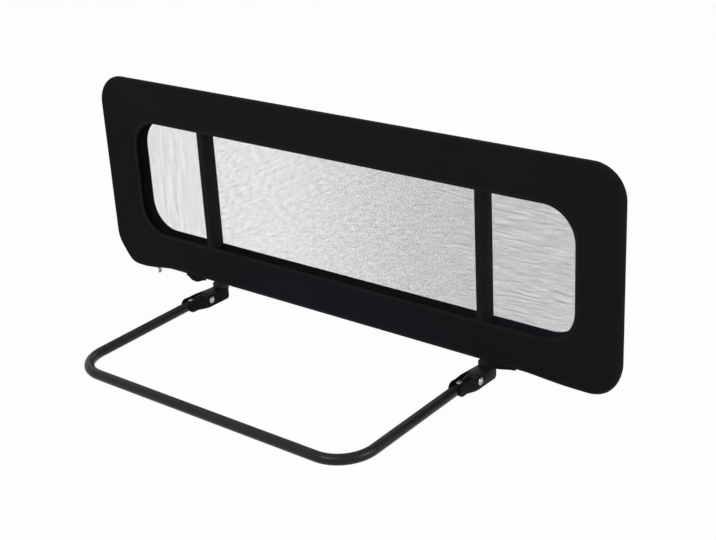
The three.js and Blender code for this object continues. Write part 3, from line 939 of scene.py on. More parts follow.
@dataclass(frozen=True)
class Layout:
    """Places that several parts share."""

    length: float = 1200 * MM
    height: float = 398 * MM
    stand: float = 44 * MM
    loop_y: float = 177.35 * MM
    loop_inset: float = 11 * MM
    loop_tube: float = 19 * MM
    spread: float = 326 * MM
    post_tube: float = 16 * MM
    post_depth: float = 17.8 * MM
    pivot_y: float = -27 * MM
    pivot_z: float = -30.5 * MM
    leg_slope: float = 9 / 375
    leg_level: float = -25.5 * MM

    def leg_z(self, y: float) -> float:
        """The height of a leg's middle over a place along it."""
        return self.leg_level + self.leg_slope * y


@dataclass
class Assembly:
    """A sub-assembly, with the places and finishes that all of them share."""

    layout: Layout
    finishes: Finishes

    def at(self, x: float, y: float, z: float) -> Vector:
        """A place in the row frame.

        Args:
            x: Along the rail.
            y: From the plane of the loop, towards the back.
            z: From the cover's lower edge, upwards.

        Returns:
            The place.
        """
        return Vector((x, self.layout.loop_y + y, self.layout.stand + z))

    def across(self, half: float, y: float, z: float) -> tuple[Vector, Vector]:
        """The two seats of a cross rivet in the right hinge."""
        spread = self.layout.spread
        return self.at(spread - half, y, z), self.at(spread + half, y, z)

    def pair(self, make: Callable[[], Piece], finish: Finish, body: str, node: str) -> None:
        """Makes a piece for the right hinge and copies it for the left.

        Args:
            make: The method that makes the right one.
            finish: The finish of both.
            body: The body that both ride on.
            node: The plain nodes' name without its side.
        """
        right = make()
        left = mirrored(right, right.name.replace("right", "left"))
        dress(right, finish, body, node + "_right")
        dress(left, finish, body, node + "_left")


@dataclass
class Base(Assembly):
    """The bent tube that lies under the mattress, with the fixed half of each hinge."""

    tube: float = 19 * MM
    reach: float = 375 * MM
    corner: float = 66 * MM
    leg_end: float = 42 * MM
    plug_reach: float = 12 * MM
    plug_edge: float = 1.2 * MM
    plug_crown: float = 1.7 * MM
    plug_fit: float = 1.6 * MM
    bracket_width: float = 30 * MM
    bracket_gap: float = 26 * MM
    bracket_floor: float = -44 * MM
    bracket_rim: float = -22 * MM
    wall: float = 2 * MM
    back_y: float = 16 * MM
    back_radius: float = 6 * MM
    floor_y: float = -36 * MM
    slope_y: float = -64 * MM
    mouth_y: float = -80 * MM
    taper: Spot = (44 * MM, 64 * MM)
    nose_y: float = -75 * MM
    nose_inset: float = 3 * MM
    nose_radius: float = 12 * MM
    fold_radius: float = 2.2 * MM
    fold_top: float = -34 * MM
    edge_radius: float = 0.4 * MM
    leg_rivet_y: float = -70 * MM
    leg_rivet: Rivet = Rivet(6 * MM, 11 * MM, 1.9 * MM)
    leg_rivet_skirt: float = 1.7 * MM
    pivot_rivet: Rivet = Rivet(8 * MM, 13.5 * MM, 3 * MM)
    seat_gap: float = 0.3 * MM

    def build(self) -> None:
        """Makes every piece of the base."""
        self.make_tube()
        self.pair(self.make_plug, self.finishes.moulding, "base", "leg_end_plug")
        self.pair(self.make_bracket, self.finishes.pressed, "base", "hinge_bracket")
        self.pair(self.make_leg_rivet, self.finishes.bright, "base", "leg_rivet")
        self.pair(self.make_pivot_rivet, self.finishes.bright, "base", "pivot_rivet")

    @property
    def down_leg(self) -> Vector:
        """The way that a leg runs from its hinge to the bar."""
        return Vector((0, -1, -self.layout.leg_slope)).normalized()

    def leg_mouth(self, way: int) -> Vector:
        """The middle of a leg's open end."""
        return self.at(way * self.layout.spread, -self.leg_end, self.layout.leg_z(-self.leg_end))

    def make_tube(self) -> None:
        """Bends the base tube from the left hinge round to the right one."""
        start, down = self.leg_mouth(-1), self.down_leg
        whole = (self.reach - self.leg_end) * math.hypot(1, self.layout.leg_slope)
        straight = whole - self.corner
        bar = 2 * (self.layout.spread - self.corner)
        axis = down.cross(AXIS_X)
        strokes = [
            Line(down * straight),
            Bend(start + down * straight + AXIS_X * self.corner, axis, 90, 24),
            Line(AXIS_X * bar),
            Bend(start + down * straight + AXIS_X * (self.corner + bar), axis, 90, 24),
            Line(-down * straight),
        ]
        piece = pipe("base_tube_bent", start, down, self.tube, strokes)
        dress(piece, self.finishes.powder, "base", "base_tube")

    def make_plug(self) -> Piece:
        """Turns the plug of a leg's open end.

        Returns:
            The right leg's plug.
        """
        up = -self.down_leg
        mouth = self.leg_mouth(1) + up * 0.1 * MM
        rim, soft = self.tube / 2, self.plug_edge
        crown = mouth + up * self.plug_crown
        bore = rim - self.plug_fit
        strokes = [
            Line(AXIS_X * (rim - soft)),
            Bend(crown + AXIS_X * (rim - soft) - up * soft, up.cross(AXIS_X), 90, 6),
            Line(-up * (self.plug_crown - soft)),
            Line(-AXIS_X * (rim - bore)),
            Line(-up * self.plug_reach),
            Line(-AXIS_X * bore),
        ]
        return turned("leg_plug_right", crown, strokes, up)

    def make_bracket(self) -> Piece:
        """Presses the channel that carries a leg and the pivot.

        Returns:
            The right bracket.
        """
        nose_y, nose_z = self.nose_y, self.layout.leg_z(self.nose_y)
        edge = self.layout.spread - self.bracket_width / 2
        floor, rim, back, radius = self.bracket_floor, self.bracket_rim, self.back_y, self.back_radius
        strokes = [
            Line(AXIS_Y * (back - self.floor_y)),
            Bend(self.at(edge, back, floor + radius), AXIS_X, 90, 6),
            Line(AXIS_Z * (rim - floor - 2 * radius)),
            Bend(self.at(edge, back, rim - radius), AXIS_X, 90, 6),
            Line(Vector((0, nose_y - back, nose_z + self.nose_radius - rim))),
            Bend(self.at(edge, nose_y, nose_z), AXIS_X, 180, 16),
            Line(AXIS_Y * (self.slope_y - nose_y)),
            Line(Vector((0, self.floor_y - self.slope_y, floor - nose_z + self.nose_radius))),
        ]
        start = self.at(edge, self.floor_y, floor)
        piece = slab("bracket_right", start, strokes, self.bracket_width)
        self.narrow(piece)
        combine(piece, self.make_channel())
        top = self.layout.stand + self.fold_top
        enter(piece)
        bevel_edges(piece, lambda p: self.on_outside(p) and p.z < top, self.fold_radius, 4)
        leave()
        rounded(piece, self.edge_radius)
        return piece

    def narrow(self, piece: Piece) -> None:
        """Draws a bracket's sides in towards its nose.

        Args:
            piece: The bracket or its hollow.
        """
        start, end = (self.layout.loop_y - reach for reach in self.taper)
        middle = self.layout.spread
        enter(piece)
        for place in (start, end):
            bpy.ops.mesh.select_all(action="SELECT")
            bpy.ops.mesh.bisect(plane_co=(0, place, 0), plane_no=AXIS_Y, use_fill=False)
        for way in (-1, 1):
            pick(piece, Pick.VERT, lambda p, way=way: p.y < end + TOUCH and (p.x - middle) * way > 0)
            bpy.ops.transform.translate(value=(-way * self.nose_inset, 0, 0))
        leave()

    def on_outside(self, place: Vector) -> bool:
        """Whether a place lies on the outer face of the right bracket's side.

        Args:
            place: A place on the bracket.

        Returns:
            True where it does.
        """
        start, end = (self.layout.loop_y - reach for reach in self.taper)
        share = min(1.0, max(0.0, (start - place.y) / (start - end)))
        side = self.bracket_width / 2 - self.nose_inset * share
        return abs(abs(place.x - self.layout.spread) - side) < TOUCH

    def make_channel(self) -> Piece:
        """Draws the hollow of a bracket, open past its back, top and nose.

        Returns:
            The hollow.
        """
        edge = self.layout.spread - self.bracket_gap / 2
        tongue = self.layout.leg_z(self.mouth_y) - self.tube / 2 - self.seat_gap
        start, floor = self.floor_y - self.wall, self.bracket_floor + self.wall
        behind, ahead, over, under = 32 * MM, -97 * MM, 10 * MM, -52 * MM
        corners = [(start, floor), (behind, floor), (behind, over), (ahead, over), (ahead, under)]
        corners += [(self.mouth_y, under), (self.mouth_y, tongue), (self.slope_y, tongue)]
        corners.append(corners[0])
        places = [self.at(edge, y, z) for y, z in corners]
        hollow = slab("hollow", places[0], lines(places), self.bracket_gap)
        self.narrow(hollow)
        return hollow

    def make_leg_rivet(self) -> Piece:
        """Turns the upright rivet through a leg and its bracket.

        Returns:
            The right rivet.
        """
        spread, y = self.layout.spread, self.leg_rivet_y
        low = self.at(spread, y, self.layout.leg_z(self.nose_y) - self.nose_radius)
        high = self.at(spread, y, self.layout.leg_z(y) + self.tube / 2 + self.seat_gap)
        return self.leg_rivet.turn("leg_pin_right", (low, high), (0, self.leg_rivet_skirt))

    def make_pivot_rivet(self) -> Piece:
        """Turns the cross rivet that the post swings on.

        Returns:
            The right rivet.
        """
        half = self.bracket_width / 2 + self.seat_gap
        seats = self.across(half, self.layout.pivot_y, self.layout.pivot_z)
        return self.pivot_rivet.turn("pivot_pin_right", seats)


@dataclass
class Loop(Assembly):
    """The tube loop in the cover, its posts and their moulded feet."""

    joint: float = 430 * MM
    joint_gap: float = 0.3 * MM
    spigot: float = 16 * MM
    spigot_reach: float = 45 * MM
    spigot_root: float = 6 * MM
    corner: float = 49 * MM
    post_low: float = -29 * MM
    post_high: float = 368.7 * MM
    foot_width: float = 25 * MM
    foot_back: float = 24 * MM
    foot_corner: float = 7 * MM
    foot_edge: float = 1.1 * MM
    foot_low: float = -41.7 * MM
    foot_high: float = -10.3 * MM
    foot_end: float = 29.8 * MM
    nose_high: float = -19.3 * MM
    heel: Spot = (19 * MM, -25.7 * MM)
    step_y: float = 5.8 * MM
    socket_z: float = 10 * MM
    socket_depth: float = 78.6 * MM
    neck_width: float = 28 * MM
    neck_depth: float = 24 * MM
    neck_corner: float = 9 * MM
    neck_low: float = -20 * MM
    neck_high: float = -1.2 * MM
    neck_rivet_z: float = -10.5 * MM
    neck_rivet: Rivet = Rivet(5 * MM, 9 * MM, 1.4 * MM)
    screw: Rivet = Rivet(5 * MM, 9 * MM, 2 * MM)
    screw_grip: float = 23 * MM
    screw_skirt: float = 1.4 * MM
    cross: Spot = (4.6 * MM, 1 * MM)
    seat_gap: float = 0.3 * MM

    def build(self) -> None:
        """Makes every piece of the loop."""
        for word, height in (("bottom", self.layout.loop_inset), ("top", self.high)):
            start = self.at(-self.joint, 0, height)
            reach = Line(AXIS_X * 2 * self.joint)
            rail = pipe(f"{word}_rail_tube", start, AXIS_X, self.layout.loop_tube, [reach])
            dress(rail, self.finishes.powder, "rail", f"{word}_rail")
        self.pair(self.make_end, self.finishes.powder, "rail", "end_tube")
        self.pair(self.make_post, self.finishes.powder, "rail", "post")
        self.pair(self.make_foot, self.finishes.moulding, "rail", "hinge_knuckle")
        self.pair(self.make_neck_rivet, self.finishes.pressed, "rail", "neck_rivet")
        self.pair(self.make_screw, self.finishes.pressed, "rail", "rail_screw")

    @property
    def high(self) -> float:
        """The height of the top rail over the cover's lower edge."""
        return self.layout.height - self.layout.loop_inset

    def make_end(self) -> Piece:
        """Bends the right end of the loop, with a spigot at each mouth.

        Returns:
            The right end.
        """
        low, high = self.layout.loop_inset, self.high
        mouth = self.joint + self.joint_gap
        turn = self.layout.length / 2 - self.layout.loop_inset - self.corner
        run = turn - mouth
        strokes = [
            Line(AXIS_X * run),
            Bend(self.at(turn, 0, low + self.corner), -AXIS_Y, 90, 16),
            Line(AXIS_Z * (high - low - 2 * self.corner)),
            Bend(self.at(turn, 0, high - self.corner), -AXIS_Y, 90, 16),
            Line(-AXIS_X * run),
        ]
        start = self.at(mouth, 0, low)
        parts = [pipe("end_bend_right", start, AXIS_X, self.layout.loop_tube, strokes)]
        for height in (low, high):
            tip = self.at(self.joint - self.spigot_reach, 0, height)
            reach = Line(AXIS_X * (self.spigot_reach + self.spigot_root))
            parts.append(pipe("spigot", tip, AXIS_X, self.spigot, [reach]))
        return join(parts)

    def make_post(self) -> Piece:
        """Draws the right post.

        Returns:
            The right post.
        """
        start = self.at(self.layout.spread, self.layout.post_depth, self.post_low)
        reach = Line(AXIS_Z * (self.post_high - self.post_low))
        return pipe("post_tube_right", start, AXIS_Z, self.layout.post_tube, [reach])

    def make_foot(self) -> Piece:
        """Moulds the foot that holds the right post and swings on the pivot.

        Returns:
            The right foot.
        """
        place = self.layout
        rim = self.foot_width / 2
        edge = place.spread - rim
        bottom, top, end, step = self.foot_low, self.foot_high, self.foot_end, self.step_y
        corners = [(place.pivot_y, bottom), (self.heel[0], bottom), (end, self.heel[1]), (end, top)]
        corners += [(step, top), (step, self.nose_high), (place.pivot_y, self.nose_high)]
        places = [self.at(edge, y, z) for y, z in corners]
        nose = Bend(self.at(edge, place.pivot_y, place.pivot_z), AXIS_X, 180, 20)
        foot = slab("hinge_foot_right", places[0], [*lines(places), nose], self.foot_width)
        back = place.loop_y + self.foot_back
        enter(foot)
        bevel_edges(
            foot,
            lambda p: abs(abs(p.x - place.spread) - rim) < TOUCH and p.y > back,
            self.foot_corner,
            6,
        )
        leave()
        combine(foot, self.make_neck(), "UNION")
        socket = self.at(place.spread, place.post_depth, self.socket_z)
        drill(foot, socket, AXIS_Z, place.post_tube + 2 * self.seat_gap, self.socket_depth)
        rounded(foot, self.foot_edge, 38, 3)
        return foot

    def make_neck(self) -> Piece:
        """Moulds the block of a foot that grips the post.

        Returns:
            The block.
        """
        low, high = self.neck_low, self.neck_high
        centre = self.at(self.layout.spread, self.layout.post_depth, (low + high) / 2)
        neck = block("neck", centre, (self.neck_width, self.neck_depth, high - low))
        enter(neck)
        bevel_edges(neck, lambda p: abs(p.z - centre.z) < TOUCH, self.neck_corner, 8)
        clean()
        leave()
        return neck

    def make_neck_rivet(self) -> Piece:
        """Turns the rivet that fixes a post in its foot.

        Returns:
            The right rivet.
        """
        half = self.neck_width / 2 + self.seat_gap
        seats = self.across(half, self.layout.post_depth, self.neck_rivet_z)
        return self.neck_rivet.turn("neck_pin_right", seats)

    def make_screw(self) -> Piece:
        """Turns the screw that holds a post against the bottom rail, with a cross in its head.

        Returns:
            The right screw.
        """
        place = self.layout
        back = place.post_depth + place.post_tube / 2 + self.seat_gap
        low, high = (
            self.at(place.spread, y, place.loop_inset) for y in (back - self.screw_grip, back)
        )
        screw = self.screw.turn("post_screw_right", (low, high), (0, self.screw_skirt))
        for wide, tall in (self.cross, self.cross[::-1]):
            combine(screw, block("slot", high + AXIS_Y * 2.6 * MM, (wide, 4 * MM, tall)))
        smooth(screw, 35)
        return screw


# Sewing


def smooth_step(value: float, start: float, reach: float) -> float:
    """Nought up to a start, one from a reach past it, and smooth between."""
    share = min(1.0, max(0.0, (value - start) / reach))
    return share * share * (3 - 2 * share)


def made(name: str, points: Sequence[Vector], faces: Sequence[Sequence[int]]) -> Piece:
    """Makes a piece of cloth from its points and faces.

    Args:
        name: The piece's name.
        points: Its points.
        faces: Its faces, as numbers of points.

    Returns:
        The piece.
    """
    mesh = bpy.data.meshes.new(name)
    mesh.from_pydata([tuple(point) for point in points], [], [tuple(face) for face in faces])
    mesh.update()
    piece = bpy.data.objects.new(name, mesh)
    bpy.context.collection.objects.link(piece)
    return piece


def gridded(across: int, up: int, flipped: bool = False) -> list[list[int]]:
    """The faces of a sheet whose points stand in columns.

    Args:
        across: How many faces it has across.
        up: How many faces it has in a column.
        flipped: Whether its faces look the other way.

    Returns:
        The faces.
    """
    faces = []
    for i in range(across):
        for k in range(up):
            a = i * (up + 1) + k
            face = [a, a + up + 1, a + up + 2, a + 1]
            faces.append([face[n] for n in (0, 3, 2, 1)] if flipped else face)
    return faces


def mapped(piece: Piece, place: Callable[[int, int], Spot]) -> None:
    """Gives a piece a map of its threads.

    Args:
        piece: The piece.
        place: The map's place for a face and a point.
    """
    layer = piece.data.uv_layers.new(name="threads")
    for face in piece.data.polygons:
        for loop in face.loop_indices:
            layer.data[loop].uv = place(face.index, piece.data.loops[loop].vertex_index)


def face_outwards(piece: Piece) -> None:
    """Turns the faces of a closed or folded piece outwards.

    Args:
        piece: The piece.
    """
    enter(piece)
    bpy.ops.mesh.normals_make_consistent(inside=False)
    leave()


@dataclass(frozen=True)
class Station:
    """A point of a strap's path, with the strap's width and outside there."""

    place: Vector
    across: Vector
    outward: Vector


def strap(name: str, path: Sequence[Station], section: Sequence[Spot], closed: bool = False) -> Piece:
    """Lays a strap of one section along a path.

    Args:
        name: The piece's name.
        path: The stations that it passes.
        section: Its section in millimetres, across and outwards, as a closed line.
        closed: Whether it meets its own start.

    Returns:
        The strap, mapped along its length.
    """
    points = [
        station.place + (station.across * across + station.outward * outward) * MM
        for station in path
        for across, outward in section
    ]
    count = len(section)
    faces: list[list[int]] = []
    for i in range(len(path) if closed else len(path) - 1):
        row, after = i * count, ((i + 1) % len(path)) * count
        for k in range(count):
            side = (k + 1) % count
            faces.append([row + k, row + side, after + side, after + k])
    if not closed:
        faces.append(list(range(count)))
        faces.append([len(points) - count + k for k in reversed(range(count))])
    piece = made(name, points, faces)
    face_outwards(piece)
    runs, girth = [0.0], [0.0]
    for before, after in zip(path, path[1:]):
        runs.append(runs[-1] + (after.place - before.place).length)
    for before, after in zip(section, section[1:]):
        girth.append(girth[-1] + math.dist(before, after) * MM)
    mapped(piece, lambda _, vertex: (runs[vertex // count], girth[vertex % count]))
    smooth(piece, 50)
    return piece


@dataclass(frozen=True)
class Stamp:
    """A small shape that is set down many times."""

    points: list[Vector]
    faces: list[list[int]]

    @classmethod
    def of(cls, piece: Piece) -> "Stamp":
        """Takes the shape of a piece and puts the piece away.

        Args:
            piece: The piece.

        Returns:
            Its stamp.
        """
        points = [vertex.co.copy() for vertex in piece.data.vertices]
        faces = [list(face.vertices) for face in piece.data.polygons]
        bpy.data.objects.remove(piece, do_unlink=True)
        return cls(points, faces)

    def repeated(self, name: str, frames: Iterable[Sequence[Vector]], degrees: float) -> Piece:
        """Sets the shape down at each frame, as one piece.

        Args:
            name: The piece's name.
            frames: The middle, the way along and the way out of each copy.
            degrees: The angle up to which it is shaded smooth.

        Returns:
            The piece.
        """
        placed: list[Vector] = []
        joined: list[list[int]] = []
        for spot, along, outward in frames:
            side = outward.cross(along)
            joined += [[len(placed) + k for k in face] for face in self.faces]
            placed += [spot + along * p.x + side * p.y + outward * p.z for p in self.points]
        piece = made(name, placed, joined)
        smooth(piece, degrees)
        return piece


@dataclass
class Stitching:
    """Rows of thread, each stitch a small pill."""

    pitch: float = 3.4 * MM
    length: float = 2.5 * MM
    width: float = 0.5 * MM

    def sew(self, name: str, rows: Iterable[Sequence[Station]]) -> Piece:
        """Sews rows of stitches along paths.

        Args:
            name: The piece's name.
            rows: The paths that the rows follow.

        Returns:
            All the stitches as one piece.
        """
        bpy.ops.mesh.primitive_uv_sphere_add(segments=6, ring_count=4, radius=self.width / 2)
        pill = settle("stitch")
        enter(pill)
        bpy.ops.transform.resize(value=(self.length / self.width, 1, 0.8))
        leave()
        return Stamp.of(pill).repeated(name, (spot for row in rows for spot in self.spots(row)), 70)

    def spots(self, row: Sequence[Station]) -> Iterable[tuple[Vector, Vector, Vector]]:
        """Finds where the stitches of a row lie.

        Args:
            row: The row's path.

        Yields:
            The middle, the way along and the way out of each stitch.
        """
        due = self.pitch / 2
        run = 0.0
        for before, after in zip(row, row[1:]):
            reach = after.place - before.place
            size = reach.length
            if size < 1e-9:
                continue
            while due <= run + size:
                share = (due - run) / size
                outward = before.outward.lerp(after.outward, share).normalized()
                yield before.place.lerp(after.place, share), reach / size, outward
                due += self.pitch
            run += size


# The cover


@dataclass(frozen=True)
class Ring:
    """One turn of the cover round its window."""

    side: float
    top: float
    bottom: float
    radius: float
    y: float

    def toward(self, other: "Ring", share: float) -> "Ring":
        """A ring between this one and another.

        Args:
            other: The other ring.
            share: How far the new ring is on its way.

        Returns:
            The ring between.
        """
        keys = ("side", "top", "bottom", "radius", "y")
        return Ring(*(getattr(self, k) + (getattr(other, k) - getattr(self, k)) * share for k in keys))

    def grown(self, inward: float, y: float) -> "Ring":
        """The same ring drawn in towards the window's middle, at another depth."""
        return Ring(self.side + inward, self.top + inward, self.bottom + inward, self.radius - inward, y)


@dataclass(frozen=True)
class Turn:
    """A point of a ring, with the way that leads out of the window there."""

    place: Vector
    out: Vector


@dataclass
class Cover(Assembly):
    """The cloth border with its bound windows, nets, straps and flaps."""

    corner: float = 60 * MM
    border_side: float = 86 * MM
    border_top: float = 85 * MM
    border_bottom: float = 71.5 * MM
    window_corner: float = 62 * MM
    front_y: float = -3 * MM
    back_y: float = 27.8 * MM
    shoulder: float = 28 * MM
    cloth: float = 0.9 * MM
    long_steps: int = 120
    short_steps: int = 28
    corner_steps: int = 16
    slot_half: float = 10 * MM
    slot_top: float = 34 * MM
    slot_front: float = 9.5 * MM
    slot_lap: float = 0.5 * MM
    left_sag: float = 11.5 * MM
    right_sag: float = 6.5 * MM
    net_lap: float = 5 * MM
    net_depth: float = 1.1 * MM
    flap_gap: float = 19 * MM
    flap_length: float = 55 * MM
    flap_y: float = -6 * MM
    flap_root: float = 1 * MM
    flap_wave: float = 0.8 * MM
    flap_lean: float = 0.4 * MM
    wrap_angles: Trio = (-83.86, -180.0, -231.2)
    stitching: Stitching = field(default_factory=Stitching)

    def build(self) -> None:
        """Makes every piece of the cover."""
        extras = [self.make_binding(face) for face in Face]
        extras += [self.make_seams(face) for face in Face]
        extras += [self.make_slot_binding(side) for side in Side]
        self.make_border(extras)
        for face in Face:
            self.make_net(face)
            for side in Side:
                self.make_band(face, side)
        for side in Side:
            self.make_sleeve(side)
            self.make_flap(side)

    def level(self, face: Face) -> float:
        """The depth of a layer round its window."""
        return self.front_y if face is Face.FRONT else self.back_y

    def span(self, lap: float) -> Spot:
        """The window's lower and upper edge, with a lap past both."""
        return self.border_bottom - lap, self.layout.height - self.border_top + lap

    def window(self, y: float) -> Ring:
        """The window's edge at a depth."""
        return Ring(self.border_side, self.border_top, self.border_bottom, self.window_corner, y)

    def even(self, inset: float, y: float) -> Ring:
        """A ring at a depth, as far from the cover's outer edge all round."""
        return Ring(inset, inset, inset, self.corner - inset, y)

    def wrap(self, degrees: float) -> Ring:
        """The ring where the cloth lies on the loop at an angle about its tube."""
        radius, turn = self.layout.loop_inset, math.radians(degrees)
        return self.even(radius + radius * math.cos(turn), radius * math.sin(turn))

    def turns(self, ring: Ring) -> list[Turn]:
        """The points of a ring, matched to those of every other ring.

        Args:
            ring: The ring.

        Returns:
            The points in order.
        """
        r = ring.radius
        x = self.layout.length / 2 - ring.side - r
        low, high = ring.bottom + r, self.layout.height - ring.top - r
        centres = [(x, low, -90), (x, high, 0), (-x, high, 90), (-x, low, 180)]
        steps = [self.short_steps, self.long_steps] * 2
        found: list[Turn] = []
        for k, (x, z, first) in enumerate(centres):
            for i in range(self.corner_steps + 1):
                angle = math.radians(first + 90 * i / self.corner_steps)
                out = Vector((math.cos(angle), 0, math.sin(angle)))
                found.append(Turn(self.at(x, ring.y, z) + out * r, out))
            x2, z2, second = centres[(k + 1) % 4]
            out = Vector((math.cos(math.radians(second)), 0, math.sin(math.radians(second))))
            start, end = (self.at(*spot) + out * r for spot in ((x, ring.y, z), (x2, ring.y, z2)))
            found += [Turn(start.lerp(end, i / steps[k]), out) for i in range(1, steps[k])]
        return found

    def rings(self) -> tuple[list[Ring], list[float], int, int, int]:
        """The border's section from the front window edge round the loop to the back one.

        Returns:
            The rings, how slack the cloth is at each, and the numbers of the rings where the
            cloth meets the loop in front, at the outer seam and at the back's shoulder.
        """
        start, end = self.window(self.front_y), self.window(self.back_y)
        first, seam, last = self.wrap_angles
        ahead, over, under, curl, behind = 14, 10, 6, 6, 12
        tight, loose, fullness = 0.12, 0.6, 0.8
        front = self.wrap(first)
        rings = [start.toward(front, i / ahead) for i in range(ahead)]
        slack = [math.sin(math.pi * i / ahead) ** fullness for i in range(ahead)]
        rings += [self.wrap(first + (seam - first) * i / over) for i in range(over)]
        outer = len(rings)
        rings += [self.wrap(seam + (last - seam) * i / under) for i in range(under + 1)]
        slack += [tight] * (over + under + 1)
        leaves = rings[-1]
        shoulder = self.even(self.shoulder, self.back_y)
        near, far = leaves.toward(shoulder, 0.62), shoulder.toward(end, 0.16)
        rings += [leaves.toward(shoulder, 0.31), near]
        for share in (i / curl for i in range(1, curl)):
            rings.append(near.toward(shoulder, share).toward(shoulder.toward(far, share), share))
        slack += [0.5] + [loose] * curl
        edge = len(rings)
        for share in (i / behind for i in range(behind + 1)):
            rings.append(far.toward(end, share))
            fade = loose * math.cos(math.pi / 2 * share) ** fullness
            slack.append(fade + 0.5 * math.sin(math.pi * share))
        slack[-1] = 0.0
        return rings, slack, ahead, outer, edge

    def make_border(self, extras: list[Piece]) -> None:
        """Sews the border as one sheet, drapes it and opens it for the posts.

        Args:
            extras: The bindings and seams that go with it; not used.
        """
        rings, slack, meets, outer, edge = self.rings()
        rows = [self.turns(ring) for ring in rings]
        count = len(rows[0])
        faces = []
        for j in range(len(rows) - 1):
            here, there = j * count, (j + 1) * count
            for i in range(count):
                after = (i + 1) % count
                faces.append([here + i, there + i, there + after, here + after])
        front, back = self.unrolled(rows, meets, 1), self.unrolled(rows, edge, -1)
        piece = made("cloth_border", [turn.place for row in rows for turn in row], faces)
        mapped(piece, lambda face, vertex: (front if face < outer * count else back)[vertex])
        self.drape(piece, rows, slack, outer)
        face_outwards(piece)
        self.open_slots(piece)
        apply(piece, "SOLIDIFY", thickness=self.cloth, offset=-1.0)
        smooth(piece, 60)
        dress(piece, self.finishes.cloth, "rail", "cover_border")

    def unrolled(self, rows: list[list[Turn]], hinge: int, way: int) -> list[Spot]:
        """Lays one panel of the border flat.

        Args:
            rows: The border's rows of points.
            hinge: The row where the panel leaves its flat face.
            way: The step from there towards the outer seam.

        Returns:
            The flat place of every point, in metres.
        """
        flat = [(turn.place.x, turn.place.z) for row in rows for turn in row]
        count = len(rows[0])
        beyond = range(hinge + way, len(rows) if way > 0 else -1, way)
        for i in range(count):
            foot = rows[hinge][i]
            run = 0.0
            for j in beyond:
                run += (rows[j][i].place - rows[j - way][i].place).length
                spot = foot.place + foot.out * run
                flat[j * count + i] = (spot.x, spot.z)
        return flat

    def drape(self, piece: Piece, rows: list[list[Turn]], slack: list[float], outer: int) -> None:
        """Moves the cloth as it hangs, with soft slack, small puckers at the binding and low corners.

        Args:
            piece: The border.
            rows: Its rows of points.
            slack: How slack each row is.
            outer: The row of the outer seam.
        """
        broad_size, crease_size, pucker_size, seam_dent = 0.9, 0.45, 0.35, 0.35
        pucker_reach, held_height, held_reach, fade = 9 * MM, 135 * MM, 30 * MM, 25 * MM
        moves = []
        for number, vertex in enumerate(piece.data.vertices):
            j, i = divmod(number, len(rows[0]))
            x, z = vertex.co.x, vertex.co.z
            broad = noise.noise(Vector((x * 7, j * 0.05, z * 11)))
            crease = noise.noise(Vector((x * 22 + z * 15, 3.1 + j * 0.02, z * 26 - x * 8)))
            push = slack[j] * (broad_size * broad + crease_size * crease) * MM
            edge = (rows[0] if j < outer else rows[-1])[i].place
            near = math.exp(-math.hypot(x - edge.x, z - edge.z) / pucker_reach)
            pucker = noise.noise(Vector((edge.x * 95, edge.z * 95, 7.0 if j < outer else 9.0)))
            push += (pucker_size * near * pucker + 0.05 * slack[j]) * MM
            if j == outer:
                push -= seam_dent * MM
            if z - self.layout.stand < held_height and push > 0:
                past_post = abs(abs(x) - self.layout.spread) - held_reach
                push *= min(1.0, max(0.0, past_post / fade))
            moves.append(vertex.normal * push + self.droop(vertex.co))
        for vertex, move in zip(piece.data.vertices, moves):
            vertex.co += move

    def droop(self, place: Vector) -> Vector:
        """How far the loose lower corners past the zip's ends hang.

        Args:
            place: A place on the cloth.

        Returns:
            The move of that place.
        """
        ahead = smooth_step(self.layout.loop_y - place.y, 4 * MM, 3 * MM)
        depth = 1 - smooth_step(place.z - self.layout.stand, 4 * MM, 50 * MM)
        if place.x < 0:
            drop = self.left_sag * smooth_step(place.x, -588 * MM, 30 * MM)
            behind = 1 - smooth_step(place.x, -517 * MM, 20 * MM)
            front = 1 - smooth_step(place.x, -530 * MM, 110 * MM)
        else:
            drop = self.right_sag
            behind = smooth_step(place.x, 498 * MM, 20 * MM)
            front = smooth_step(place.x, 385 * MM, 130 * MM)
        return AXIS_Z * (-drop * (behind + (front - behind) * ahead) * depth)

    def open_slots(self, piece: Piece) -> None:
        """Cuts the slots where the posts leave the cover.

        Args:
            piece: The border.
        """
        spread, half = self.layout.spread, self.slot_half
        front = self.layout.loop_y + self.slot_front
        top = self.layout.stand + self.slot_top

        def inside(place: Vector, wide: float = half, ahead: float = 0.0, over: float = 0.0) -> bool:
            """Whether a place lies in a slot, or in a larger one round it."""
            across = abs(abs(place.x) - spread) < wide
            return across and place.y > front - ahead and place.z < top + over

        planes = [(AXIS_Y * front, AXIS_Y), (AXIS_Z * top, AXIS_Z)]
        for side in Side:
            planes += [(AXIS_X * (side.value * spread + way * half), AXIS_X) for way in (-1, 1)]
        enter(piece)
        for centre, normal in planes:
            pick(piece, Pick.FACE, lambda p: inside(p, 3 * half, 6 * MM, 15 * MM))
            bpy.ops.mesh.bisect(plane_co=centre, plane_no=normal, use_fill=False)
        pick(piece, Pick.FACE, inside)
        bpy.ops.mesh.delete(type="FACE")
        leave()

    def lap(self, face: Face, inward: float, lift: float) -> list[Station]:
        """A path round the window, on the outside of one face of the cover.

        Args:
            face: The face.
            inward: How far the path is from the window's edge, towards its middle.
            lift: How far it is off the face.

        Returns:
            The path's stations.
        """
        ring = self.window(0).grown(inward, self.level(face) + face.value * lift)
        return [Station(turn.place, -turn.out, AXIS_Y * face.value) for turn in self.turns(ring)]

